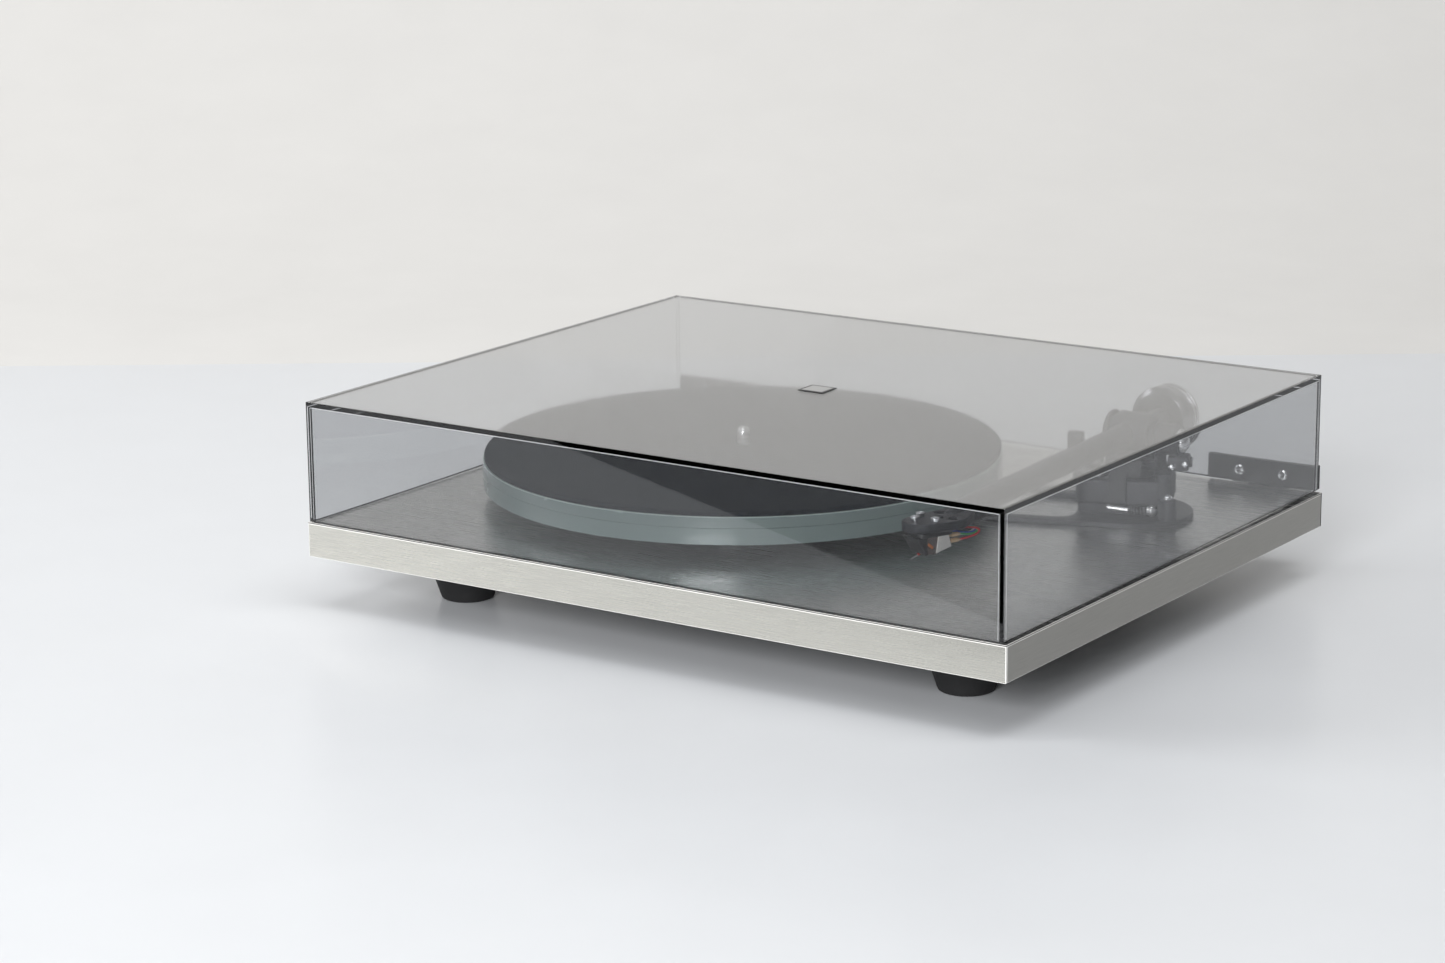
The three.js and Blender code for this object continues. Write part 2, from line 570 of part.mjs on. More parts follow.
// Tapered hollow tube, cross barrel for the bearings, and the flat head for the cartridge.
function armTube() {
  const rear = -COUNTERWEIGHT.start - COUNTERWEIGHT.length - 10;
  const bore = 4;
  const tube = alongX(turned([
    [bore, rear], [COUNTERWEIGHT.stub, rear], [COUNTERWEIGHT.stub, -16], [6.7, -14], [6.7, 10],
    [6.5, 60], [6.2, 180], [6.1, 205], [bore, 205], [bore, rear],
  ], 20)).rotateZ(TUBE_TOE);
  const barrelLow = YOKE.left + YOKE.cheek + 0.4;
  const barrel = alongY(rod(11.5, barrelLow, YOKE.right - YOKE.cheek - 0.4, 28));
  const barrelBore = alongX(rod(bore, -20, 20, 20)).rotateZ(TUBE_TOE);
  const shell = plate(headOutline(), -1, 3.8, 7).rotateZ(-OFFSET_ANGLE).translate(ARM_LENGTH, 0, 0);
  return cut(join(tube, barrel, shell), barrelBore);
}

// Head outline in (forward, outward) from the stylus, with screw and lightening holes.
function headOutline() {
  const shape = new THREE.Shape();
  shape.absarc(-7, 0, 10, -Math.PI / 2, Math.PI / 2, false);
  for (const [x, y] of [[-12, 11], [-25, 12], [-34, 6], [-45, -5.6], [-40, -16.4], [-28, -13.2], [-12, -11.3]]) {
    shape.lineTo(x, y);
  }
  for (const [x, y] of CARTRIDGE_SCREWS) shape.holes.push(circle(x, y, 1.5));
  for (const [x, y] of [[-17.8, -0.5], [-23.5, -7.8], [-22.4, 6.1]]) shape.holes.push(circle(x, y, 2.6));
  return shape;
}

function buildCounterweight(arm) {
  const { radius, start, length, stub } = COUNTERWEIGHT;
  const end = -start;
  const rear = end - length;
  const bore = stub + GAP;
  const weight = turned([
    [bore, rear], [radius - 2, rear], [radius, rear + 2], [radius, rear + 5], [radius - 0.6, rear + 5.4],
    [radius, rear + 5.8], [radius, rear + 8.5], [radius - 0.6, rear + 8.9], [radius, rear + 9.3],
    [radius, end - 2], [radius - 3, end], [bore, end], [bore, rear],
  ], 36);
  node(arm, 'counterweight', alongX(weight).rotateZ(TUBE_TOE), STEEL);
}

// ---------------------------------------------------------------- cartridge
// Drawn under the head, with +X forward, +Y outward and zero at the stylus in plan.

const CARTRIDGE_SCREWS = [[-4.2, -1.7], [-10.7, -6.35], [-10.7, 6.35]];
const LEADS = [['red', 5.4, 0xb01824], ['green', 3.4, 0x2f8f4a], ['blue', 1.4, 0x1d3f8f],
  ['white', -0.6, 0xc9c3cf]];

function buildCartridge(head) {
  const flange = plate(roundedBlock(-22, -8, -1, 8, 3), -3.8, -1.3, 5);
  const side = polygon([
    [1, -3], [1, -4], [-1.5, -6.5], [-5, -13.2], [-11, -13.2], [-21, -10.4], [-19.5, -3],
  ]);
  const body = new THREE.ExtrudeGeometry(side, { depth: 14, bevelEnabled: false })
    .rotateX(Math.PI / 2).translate(0, 7, 0);
  node(head, 'cartridge_body', join(flange, solid(body)), BLACK_PLASTIC);

  const reach = new THREE.Vector3(6.2, 0, STYLUS_DROP - 13.6);
  const cantilever = new THREE.CylinderGeometry(0.5, 0.25, reach.length(), 8);
  cantilever.rotateZ(Math.PI / 2 - Math.atan2(reach.z, reach.x)).rotateX(Math.PI / 2);
  cantilever.translate(-reach.x / 2, 0, -STYLUS_DROP + reach.z / 2);
  node(head, 'stylus', solid(cantilever), ALUMINIUM);

  CARTRIDGE_SCREWS.forEach(([x, y], i) => {
    const screw = turned([[0, -1], [1.2, -1], [1.2, 4.1], [2.4, 4.1], [2.4, 5.3], [1.8, 6], [0, 6]], 12);
    node(head, `cartridge_screw_${i + 1}`, screw, CHROME).position.set(x, y, 0);
  });

  for (const [color, y, tint] of LEADS) {
    node(head, `lead_${color}`, lead(y), finish(tint, 0.5, 0));
  }
}

// A lead drops from the head, turns back on itself and runs forward to a cartridge pin.
function lead(y) {
  const route = new THREE.CatmullRomCurve3([
    [-29, y, -1.9], [-33, y, -2.4], [-37.5, y * 0.9 + 0.5, -3.2], [-40, y * 0.8 + 0.8, -5],
    [-37.5, y * 0.9 + 0.5, -7], [-33, y, -7.6], [-28, y, -7.4],
  ].map((point) => new THREE.Vector3(...point)));
  const section = new THREE.Shape().absarc(0, 0, 0.45, 0, 2 * Math.PI, false);
  const options = { steps: 14, curveSegments: 3, bevelEnabled: false, extrudePath: route };
  return solid(new THREE.ExtrudeGeometry(section, options));
}

// ---------------------------------------------------------------- assembly

const turntable = new THREE.Group();
const rearReach = HINGE.axisY + HINGE.barrel - HALF_DEPTH;
const deck = subgroup(turntable, 0, -rearReach / 2, PLINTH.thickness + FOOT.height);

buildPlinth(deck);
buildFeet(deck);
buildBraces(deck);
buildHub(deck);
buildMotor(deck);
buildSockets(deck);
buildCover(deck);
buildHinges(deck);
buildArmBase(deck);
buildTonearm(deck);

export default turntable;
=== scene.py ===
"""Turntable record player with a hinged clear cover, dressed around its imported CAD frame.

Lengths of the object are in millimetres, measured from the middle of the plinth's top face.
DECK, BASE, ARM, TUBE and HEAD are the places that pieces are drawn in, and they also turn
millimetres into metres. The stage, the lamps and the camera are in metres.
"""

import json
import math

import bmesh
import bpy
from mathutils import Matrix, Vector


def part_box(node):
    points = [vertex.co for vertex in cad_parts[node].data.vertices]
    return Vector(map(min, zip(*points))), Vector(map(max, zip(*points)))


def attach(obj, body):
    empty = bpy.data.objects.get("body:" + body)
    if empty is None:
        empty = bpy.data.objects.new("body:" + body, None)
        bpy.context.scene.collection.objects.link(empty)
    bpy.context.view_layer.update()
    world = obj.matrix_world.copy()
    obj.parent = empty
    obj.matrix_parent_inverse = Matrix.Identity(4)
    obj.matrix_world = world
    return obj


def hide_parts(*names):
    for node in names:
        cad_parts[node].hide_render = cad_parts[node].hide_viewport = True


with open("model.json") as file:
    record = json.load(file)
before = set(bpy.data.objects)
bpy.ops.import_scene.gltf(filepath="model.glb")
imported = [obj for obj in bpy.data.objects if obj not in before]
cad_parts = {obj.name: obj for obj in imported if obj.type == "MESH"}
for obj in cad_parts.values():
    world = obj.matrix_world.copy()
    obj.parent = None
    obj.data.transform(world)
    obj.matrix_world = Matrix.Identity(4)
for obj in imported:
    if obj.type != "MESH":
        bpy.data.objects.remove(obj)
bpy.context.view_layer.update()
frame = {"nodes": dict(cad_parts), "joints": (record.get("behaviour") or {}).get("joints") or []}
MM = 0.001

# ---------------------------------------------------------------- camera

camera_data = bpy.data.cameras.new("camera")
camera_data.lens = 90.52
camera_data.sensor_width = 36
camera = bpy.data.objects.new("camera", camera_data)
camera.location = (1.07136, -1.67400, 0.56113)
camera.rotation_euler = [math.radians(a) for a in (75.933, 0.514, 34.196)]
bpy.context.scene.collection.objects.link(camera)
bpy.context.scene.camera = camera

# ---------------------------------------------------------------- places


def joint(name):
    return next(j for j in frame["joints"] if j["name"] == name)


top_low, top_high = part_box("plinth_top_skin")
DECK = Matrix.Translation(((top_low.x + top_high.x) / 2, (top_low.y + top_high.y) / 2, top_high.z))
DECK = DECK @ Matrix.Scale(MM, 4)
TO_DECK = DECK.inverted()


def span(node):
    """The lowest and highest corner of a CAD node, in deck millimetres."""
    low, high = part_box(node)
    return TO_DECK @ low, TO_DECK @ high


def turn_z(angle):
    return Matrix.Rotation(angle, 4, "Z")


def shift(x, y, z=0):
    return Matrix.Translation((x, y, z))


ARM_LENGTH = 237
OFFSET_ANGLE = math.radians(23.9)
TUBE_TOE = math.radians(2.1)
PIVOT = TO_DECK @ Vector(joint("arm_swing")["pos_m"])
along_block = Vector(joint("bias_knob_slide")["axis"])
inward = Vector(joint("arm_lift")["axis"])
BASE = DECK @ shift(PIVOT.x, PIVOT.y) @ turn_z(math.atan2(along_block.y, along_block.x))
ARM = DECK @ Matrix.Translation(PIVOT) @ turn_z(math.atan2(-inward.y, -inward.x) - math.pi / 2)
HEAD = ARM @ shift(ARM_LENGTH, 0) @ turn_z(-OFFSET_ANGLE)
TUBE = ARM @ turn_z(TUBE_TOE)

ALONG_X = Matrix.Rotation(math.pi / 2, 4, "Y")
ALONG_Y = Matrix.Rotation(-math.pi / 2, 4, "X")
UPRIGHT = Matrix.Rotation(math.pi / 2, 4, "X")
ON_EDGE = Matrix(((0, 0, 1, 0), (1, 0, 0, 0), (0, 1, 0, 0), (0, 0, 0, 1)))    # X, Y, Z to Y, Z, X

# ---------------------------------------------------------------- mesh tools


def soften(points, radius, closed=False, steps=4):
    """A polyline with its corners rounded."""
    points = [Vector(p) for p in points]
    count = len(points)
    out = []
    for i, corner in enumerate(points):
        if not closed and i in (0, count - 1):
            out.append(tuple(corner))
            continue
        before = points[i - 1] - corner
        after = points[(i + 1) % count] - corner
        start = corner + before * min(radius / max(before.length, 1e-6), 0.45)
        end = corner + after * min(radius / max(after.length, 1e-6), 0.45)
        for step in range(steps + 1):
            t = step / steps
            out.append(tuple(start * (1 - t) ** 2 + corner * 2 * t * (1 - t) + end * t * t))
    return out


def lathe(profile, segments=72, closed=False):
    """A profile of (radius, height) turned about Z."""
    bm = bmesh.new()
    rings = []
    for radius, height in profile:
        if radius < 1e-5:
            rings.append([bm.verts.new((0, 0, height))])
            continue
        rings.append([bm.verts.new((x, y, height)) for x, y in circle(0, 0, radius, segments)])
    pairs = list(zip(rings, rings[1:]))
    if closed:
        pairs.append((rings[-1], rings[0]))
    for lower, upper in pairs:
        for i in range(segments):
            j = (i + 1) % segments
            corners = [lower[i % len(lower)], lower[j % len(lower)],
                       upper[j % len(upper)], upper[i % len(upper)]]
            unique = list(dict.fromkeys(corners))
            if len(unique) > 2:
                bm.faces.new(unique)
    return bm


def from_curve(curve):
    """The mesh of a curve, which is then removed."""
    holder = bpy.data.objects.new("outline", curve)
    bpy.context.scene.collection.objects.link(holder)
    evaluated = holder.evaluated_get(bpy.context.evaluated_depsgraph_get())
    mesh = bpy.data.meshes.new_from_object(evaluated)
    bm = bmesh.new()
    bm.from_mesh(mesh)
    bmesh.ops.remove_doubles(bm, verts=bm.verts, dist=1e-4)
    bpy.data.objects.remove(holder)
    bpy.data.curves.remove(curve)
    bpy.data.meshes.remove(mesh)
    return bm


def sheet(outlines, low, high, edge, steps=2):
    """Flat outlines, the first with the others as holes, raised and given rounded edges."""
    curve = bpy.data.curves.new("outline", "CURVE")
    curve.dimensions = "2D"
    curve.fill_mode = "BOTH"
    curve.extrude = (high - low) / 2 - edge
    curve.bevel_depth = edge
    curve.bevel_resolution = steps
    curve.offset = -edge
    for outline in outlines:
        spline = curve.splines.new("POLY")
        spline.points.add(len(outline) - 1)
        for point, place in zip(spline.points, outline):
            point.co = (place[0], place[1], 0, 1)
        spline.use_cyclic_u = True
    bm = from_curve(curve)
    bm.transform(shift(0, 0, (low + high) / 2))
    return bm


def wire(points, radius):
    """A round wire along a smooth curve through given points."""
    curve = bpy.data.curves.new("wire", "CURVE")
    curve.dimensions = "3D"
    curve.bevel_depth = radius
    curve.bevel_resolution = 3
    curve.resolution_u = 8
    curve.use_fill_caps = True
    spline = curve.splines.new("NURBS")
    spline.points.add(len(points) - 1)
    for point, place in zip(spline.points, points):
        point.co = (*place, 1)
    spline.order_u = 4
    spline.use_endpoint_u = True
    return from_curve(curve)


def block(low, high, edge, steps=2):
    """A box between two corners with rounded edges."""
    bm = bmesh.new()
    low, high = Vector(low), Vector(high)
    size = high - low
    place = Matrix.Translation((low + high) / 2) @ Matrix.Diagonal((*size, 1))
    bmesh.ops.create_cube(bm, size=1, matrix=place)
    bmesh.ops.bevel(bm, geom=list(bm.edges), offset=min(edge, min(size) * 0.45), segments=steps,
                    profile=0.5, affect="EDGES")
    return bm


def cad_copy(node, edge, shortest):
    """A CAD node's own shape, with its hard edges that are longer than `shortest` rounded."""
    bm = bmesh.new()
    bm.from_mesh(frame["nodes"][node].data)
    bm.transform(TO_DECK)
    bmesh.ops.remove_doubles(bm, verts=bm.verts, dist=1e-3)
    bmesh.ops.dissolve_limit(bm, angle_limit=math.radians(1), verts=bm.verts, edges=bm.edges)
    hard = [e for e in bm.edges if len(e.link_faces) == 2
            and e.calc_face_angle(0) > math.radians(40) and e.calc_length() > shortest]
    bmesh.ops.bevel(bm, geom=hard, offset=edge, segments=2, profile=0.5, affect="EDGES")
    return bm


def placed(bm, matrix):
    bm.transform(matrix)
    return bm


def circle(x, y, radius, count=48):
    angles = [2 * math.pi * i / count for i in range(count)]
    return [(x + radius * math.cos(a), y + radius * math.sin(a)) for a in angles]


def arc(x, y, radius, start, end, count):
    angles = [math.radians(start + (end - start) * i / count) for i in range(count + 1)]
    return [(x + radius * math.cos(a), y + radius * math.sin(a)) for a in angles]


def rounded_rectangle(left, front, right, rear, radius):
    corners = [(left, front), (right, front), (right, rear), (left, rear)]
    return soften(corners, radius, closed=True, steps=6)


def hexagon(across_flats):
    return circle(0, 0, across_flats / math.sqrt(3), 6)


def piece(name, parts, place, body, replaces, sharp=38):
    """One object made of (mesh, material) parts, riding on a CAD body."""
    materials = []
    whole = bmesh.new()
    for bm, look in parts:
        if look not in materials:
            materials.append(look)
        for face in bm.faces:
            face.material_index = materials.index(look)
        part = bpy.data.meshes.new("part")
        bm.to_mesh(part)
        bm.free()
        whole.from_mesh(part)
        bpy.data.meshes.remove(part)
    whole.transform(place)
    bmesh.ops.recalc_face_normals(whole, faces=whole.faces)
    for edge in whole.edges:
        edge.smooth = edge.calc_face_angle(math.pi) < math.radians(sharp)
    for face in whole.faces:
        face.smooth = True
    mesh = bpy.data.meshes.new(name)
    whole.to_mesh(mesh)
    whole.free()
    for look in materials:
        mesh.materials.append(look)
    obj = bpy.data.objects.new(name, mesh)
    bpy.context.scene.collection.objects.link(obj)
    level = obj.modifiers.new("level faces", "WEIGHTED_NORMAL")
    level.keep_sharp = True
    level.weight = 100
    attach(obj, body)
    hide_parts(*replaces)


def dress(node, material):
    """Gives a CAD node that stays as it is a material."""
    mesh = frame["nodes"][node].data
    mesh.materials.clear()
    mesh.materials.append(material)


# ---------------------------------------------------------------- materials

BLOTCHES_PER_METRE = 25


def surface(name, color, roughness, metallic=0.0, grain=(1, 1, 1), tint=0.08, rough=0.05,
            bump=0.02, blotch=0.04, detail=6, **inputs):
    """A Principled material with fine grain and slow blotches.

    grain is the size of the fine pattern in millimetres along X, Y and Z, tint its share of
    the colour, rough its share of the roughness and bump its height in millimetres.
    """
    material = bpy.data.materials.new(name)
    material.use_nodes = True
    nodes, links = material.node_tree.nodes, material.node_tree.links
    shader = nodes["Principled BSDF"]
    shader.inputs["Metallic"].default_value = metallic
    for key, value in inputs.items():
        shader.inputs[key.replace("_", " ")].default_value = value

    where = nodes.new("ShaderNodeTexCoord")
    stretch = nodes.new("ShaderNodeMapping")
    stretch.inputs["Scale"].default_value = [1 / (MM * size) for size in grain]
    fine = nodes.new("ShaderNodeTexNoise")
    fine.inputs["Scale"].default_value = 1
    fine.inputs["Detail"].default_value = detail
    slow = nodes.new("ShaderNodeTexNoise")
    slow.inputs["Scale"].default_value = BLOTCHES_PER_METRE
    slow.inputs["Detail"].default_value = 3
    links.new(where.outputs["Object"], stretch.inputs["Vector"])
    links.new(stretch.outputs["Vector"], fine.inputs["Vector"])
    links.new(where.outputs["Object"], slow.inputs["Vector"])

    strength = nodes.new("ShaderNodeMapRange")
    strength.inputs["From Min"].default_value = 0.3
    strength.inputs["From Max"].default_value = 0.7
    links.new(fine.outputs["Fac"], strength.inputs["Value"])
    pattern = strength.outputs["Result"]

    def shade(level):
        return [min(1.0, channel * level) for channel in color] + [1]

    if tint or blotch:
        colors = nodes.new("ShaderNodeMix")
        colors.data_type = "RGBA"
        colors.inputs["A"].default_value = shade(1 - tint)
        colors.inputs["B"].default_value = shade(1 + tint)
        links.new(pattern, colors.inputs["Factor"])
        blotches = nodes.new("ShaderNodeMix")
        blotches.data_type = "RGBA"
        blotches.blend_type = "MULTIPLY"
        blotches.inputs["B"].default_value = (1 - 2 * blotch, 1 - 2 * blotch, 1 - 2 * blotch, 1)
        links.new(slow.outputs["Fac"], blotches.inputs["Factor"])
        links.new(colors.outputs["Result"], blotches.inputs["A"])
        links.new(blotches.outputs["Result"], shader.inputs["Base Color"])
    else:
        shader.inputs["Base Color"].default_value = shade(1)

    blend = nodes.new("ShaderNodeMath")
    blend.operation = "ADD"
    links.new(pattern, blend.inputs[0])
    links.new(slow.outputs["Fac"], blend.inputs[1])
    spread = nodes.new("ShaderNodeMapRange")
    spread.inputs["From Min"].default_value = 0.6
    spread.inputs["From Max"].default_value = 1.4
    spread.inputs["To Min"].default_value = max(0.02, roughness - rough)
    spread.inputs["To Max"].default_value = roughness + rough
    links.new(blend.outputs["Value"], spread.inputs["Value"])
    links.new(spread.outputs["Result"], shader.inputs["Roughness"])

    if bump:
        height = nodes.new("ShaderNodeBump")
        height.inputs["Distance"].default_value = bump * MM
        links.new(pattern, height.inputs["Height"])
        links.new(height.outputs["Normal"], shader.inputs["Normal"])
    return material


def open_where(material, share, color=(1, 1, 1, 1)):
    """Makes a material transparent where the share, a node's output, is one."""
    nodes, links = material.node_tree.nodes, material.node_tree.links
    through = nodes.new("ShaderNodeBsdfTransparent")
    through.inputs["Color"].default_value = color
    mix = nodes.new("ShaderNodeMixShader")
    links.new(share, mix.inputs["Fac"])
    links.new(nodes["Principled BSDF"].outputs["BSDF"], mix.inputs[1])
    links.new(through.outputs["BSDF"], mix.inputs[2])
    links.new(mix.outputs["Shader"], nodes["Material Output"].inputs["Surface"])
    return material


def clear_acrylic(name, tint, shadow):
    """Smoked clear plastic that lamps and soft light shine through."""
    material = surface(name, tint, 0.015, grain=(60, 60, 60), tint=0, rough=0.012, bump=0,
                       blotch=0, detail=2, Transmission_Weight=1.0, IOR=1.62)
    nodes, links = material.node_tree.nodes, material.node_tree.links
    ray = nodes.new("ShaderNodeLightPath")
    either = nodes.new("ShaderNodeMath")
    either.operation = "MAXIMUM"
    links.new(ray.outputs["Is Shadow Ray"], either.inputs[0])
    links.new(ray.outputs["Is Diffuse Ray"], either.inputs[1])
    return open_where(material, either.outputs["Value"], shadow)


def one_sided(material):
    """Lets a camera behind or below a sheet see through it."""
    sides = material.node_tree.nodes.new("ShaderNodeNewGeometry")
    return open_where(material, sides.outputs["Backfacing"])


def far_only(material, distance):
    """Hides a card from the surface that it lies on, whose rays reach it at once."""
    nodes, links = material.node_tree.nodes, material.node_tree.links
    path = nodes.new("ShaderNodeLightPath")
    near = nodes.new("ShaderNodeMath")
    near.operation = "LESS_THAN"
    near.inputs[1].default_value = distance
    links.new(path.outputs["Ray Length"], near.inputs[0])
    return open_where(material, near.outputs["Value"])


# One brushed laminate in three colours, set per face as painted light and shade: the X copy is painted
# light for the front and rear, and the top and Y copies are painted darker as shade.
LAMINATE_X_LIT = surface("laminate_x_painted_light", (0.83, 0.81, 0.74), 0.26, 1.0, grain=(18, 0.22, 0.22), tint=0.09,
                    rough=0.03, bump=0.002, blotch=0.01, detail=2)
LAMINATE_TOP_SHADED = surface("laminate_top_painted_shade", (0.56, 0.56, 0.55), 0.27, 1.0, grain=(40, 0.3, 0.3), tint=0.05,
                      rough=0.008, bump=0.0006, blotch=0.003, detail=1)
LAMINATE_Y_SHADED = surface("laminate_y_painted_shade", (0.39, 0.38, 0.355), 0.36, 1.0, grain=(0.22, 18, 0.22), tint=0.09,
                    rough=0.03, bump=0.002, blotch=0.01, detail=2)
# A near-white diffuse paint for the laminate's rounded edges: a painted highlight.
EDGE_HIGHLIGHT_PAINT = surface("edge_painted_highlight", (0.95, 0.94, 0.91), 0.25, grain=(8, 8, 0.3), tint=0.02,
                        bump=0)
# Black paint along the cover's lower rim: painted shade for the gap between cover and plinth.
RIM_SHADE_PAINT = surface("rim_painted_shade", (0.004, 0.004, 0.005), 0.5, grain=(8, 8, 8), tint=0.1, bump=0,
                   Specular_IOR_Level=0.1)
# Near-white strips inside the cover along its joints: painted highlights of its edges.
JOINT_HIGHLIGHT_PAINT = surface("joint_painted_highlight", (0.93, 0.94, 0.95), 0.2, grain=(8, 8, 8), tint=0.02, bump=0)
LAMINATE_EDGE = surface("laminate_edge", (0.006, 0.006, 0.006), 0.6, grain=(6, 6, 0.2), tint=0.3,
                        Specular_IOR_Level=0.1)
FOAM = surface("core_foam", (0.02, 0.02, 0.022), 0.9, grain=(0.6, 0.6, 0.6), bump=0.2, tint=0.3)
UNDERSIDE = surface("underside", (0.022, 0.022, 0.024), 0.5, grain=(0.5, 0.5, 0.5), bump=0.04, tint=0.2)
RUBBER = surface("rubber", (0.012, 0.012, 0.013), 0.7, grain=(0.25, 0.25, 0.25), bump=0.04, tint=0.25)
BELT = surface("belt_rubber", (0.02, 0.02, 0.02), 0.6, grain=(0.3, 0.3, 0.3), bump=0.02, tint=0.2)
SATIN_BLACK = surface("satin_black", (0.03, 0.031, 0.034), 0.4, 0.3, grain=(0.25, 0.25, 0.25), bump=0.015,
                      tint=0.15)
POWDER = surface("powder_coat", (0.031, 0.032, 0.038), 0.42, 0.2, grain=(0.35, 0.35, 0.35), bump=0.035,
                 tint=0.25, rough=0.08)
MOULDED = surface("moulded_plastic", (0.016, 0.016, 0.018), 0.45, grain=(0.4, 0.4, 0.4), bump=0.03,
                  tint=0.2)
BRIGHT_STEEL = surface("bright_steel", (0.86, 0.86, 0.87), 0.3, 1.0, grain=(8, 8, 0.3), tint=0.05,
                       bump=0.004)
CHROME = surface("chrome", (0.82, 0.83, 0.85), 0.1, 1.0, grain=(3, 3, 3), tint=0.03, rough=0.04,
                 bump=0)
STEEL = surface("turned_steel", (0.5, 0.5, 0.51), 0.28, 1.0, grain=(12, 12, 0.12), tint=0.12, bump=0.008)
WEIGHT = surface("dark_steel", (0.22, 0.22, 0.23), 0.18, 1.0, grain=(0.12, 0.12, 12), tint=0.12, bump=0.004)
ALUMINIUM = surface("anodised", (0.58, 0.59, 0.6), 0.33, 1.0, grain=(8, 8, 0.2), tint=0.1, bump=0.01)
BRASS = surface("brass", (0.55, 0.4, 0.18), 0.28, 1.0, grain=(10, 10, 0.15), tint=0.12, bump=0.008)
GLASS_BODY = surface("frosted_glass", (0.32, 0.41, 0.40), 0.26, grain=(40, 40, 12), tint=0.02, bump=0,
                     rough=0.015, Transmission_Weight=0.25, IOR=1.5, Coat_Weight=0.4, Coat_Roughness=0.12)
# A much lighter copy of the platter glass for its top outer rim: a painted highlight.
GLASS_RIM_HIGHLIGHT = surface("glass_rim_painted_highlight", (0.72, 0.85, 0.82), 0.2, grain=(0.5, 0.5, 0.5), tint=0.04,
                     bump=0.005, Transmission_Weight=0.2, IOR=1.5)
FELT = surface("felt", (0.008, 0.012, 0.018), 0.95, grain=(0.7, 0.7, 0.7), tint=0.35, bump=0.35,
               Sheen_Weight=0.02, Sheen_Roughness=0.5, Specular_IOR_Level=0.1)
ACRYLIC = clear_acrylic("smoked_acrylic", (0.755, 0.76, 0.768), (0.575, 0.58, 0.587, 1))
BADGE_FACE = surface("badge_face", (0.5, 0.5, 0.5), 0.35, 0.6, grain=(12, 0.2, 0.2), tint=0.08, bump=0.01)
BADGE_BORDER = surface("badge_border", (0.03, 0.03, 0.03), 0.4, grain=(0.5, 0.5, 0.5), tint=0.15)
AMBER = surface("amber_housing", (0.075, 0.03, 0.02), 0.15, grain=(2, 2, 2), tint=0.35, bump=0.01,
                Transmission_Weight=0.25, Coat_Weight=0.5)
COPPER = surface("copper_coil", (0.62, 0.2, 0.05), 0.35, 0.5, grain=(0.15, 3, 0.15), tint=0.3, bump=0.03)
SIDE_METAL = surface("cartridge_metal", (0.80, 0.78, 0.74), 0.36, 0.9, grain=(0.3, 6, 0.3), tint=0.1,
                     bump=0.01)
GOLD = surface("gold_pins", (1.0, 0.74, 0.48), 0.25, 0.5, grain=(8, 8, 8), tint=0.02, rough=0.02, bump=0)
RED_DOT = surface("red_plug", (0.55, 0.02, 0.02), 0.4, grain=(0.5, 0.5, 0.5))


def insulation(name, color):
    """The sleeve of a thin wire."""
    return surface(name, color, 0.4, grain=(0.6, 0.6, 0.6), tint=0.12, bump=0.01, Coat_Weight=0.2)


LEAD_LOOKS = {
    "red": insulation("lead_red_sleeve", (0.60, 0.012, 0.03)),
    "green": insulation("lead_green_sleeve", (0.03, 0.42, 0.10)),
    "blue": insulation("lead_blue_sleeve", (0.02, 0.08, 0.42)),
    "white": insulation("lead_white_sleeve", (0.62, 0.60, 0.66)),
}

# ---------------------------------------------------------------- plinth

HUB = TO_DECK @ Vector(joint("platter_spin")["pos_m"])
MOTOR = TO_DECK @ Vector(joint("pulley_spin")["pos_m"])
HUB_HOLE = 9.3
ARM_HOLE = 11.4
MOTOR_HOLE = 3
TOP_EDGE = 0.2
BAND_EDGE = 0.7
FACING = 0.985      # a face is the laminate's own if its normal points outwards by this cosine
TURNED = 0.2        # and part of its edge, painted near-white as a highlight, down to this one


def laminate(bm, look, axis, side):
    """Three parts: the outer laminate face, its rounded edge painted near-white as a highlight and the dark
    core at its cuts.
    """

    def kept(low, high):
        part = bm.copy()
        wrong = [f for f in part.faces if not low < f.normal[axis] * side <= high]
        bmesh.ops.delete(part, geom=wrong, context="FACES")
        return part

    parts = [(kept(FACING, 2), look), (kept(TURNED, FACING), EDGE_HIGHLIGHT_PAINT),
             (kept(-2, TURNED), LAMINATE_EDGE)]
    bm.free()
    return parts


def build_plinth():
    low, high = span("plinth_top_skin")
    outline = [(low.x, low.y), (high.x, low.y), (high.x, high.y), (low.x, high.y)]
    holes = [circle(HUB.x, HUB.y, HUB_HOLE), circle(PIVOT.x, PIVOT.y, ARM_HOLE),
             circle(MOTOR.x, MOTOR.y, MOTOR_HOLE)]
    top = sheet([outline] + holes, low.z, high.z, TOP_EDGE)
    piece("top_laminate", laminate(top, LAMINATE_TOP_SHADED, 2, 1), DECK, "deck",
          ["plinth_top_skin"])
    # The front and rear bands take the laminate painted light, and the left and right bands take the copy
    # painted shade.
    sides = {"front": (1, -1, LAMINATE_X_LIT), "rear": (1, 1, LAMINATE_X_LIT),
             "left": (0, -1, LAMINATE_Y_SHADED), "right": (0, 1, LAMINATE_Y_SHADED)}
    for name, (axis, side, look) in sides.items():
        node = f"edge_band_{name}"
        low, high = span(node)
        band = block(low, high, BAND_EDGE, 3)
        band.normal_update()
        piece(f"side_laminate_{name}", laminate(band, look, axis, side), DECK, "deck",
              [node])


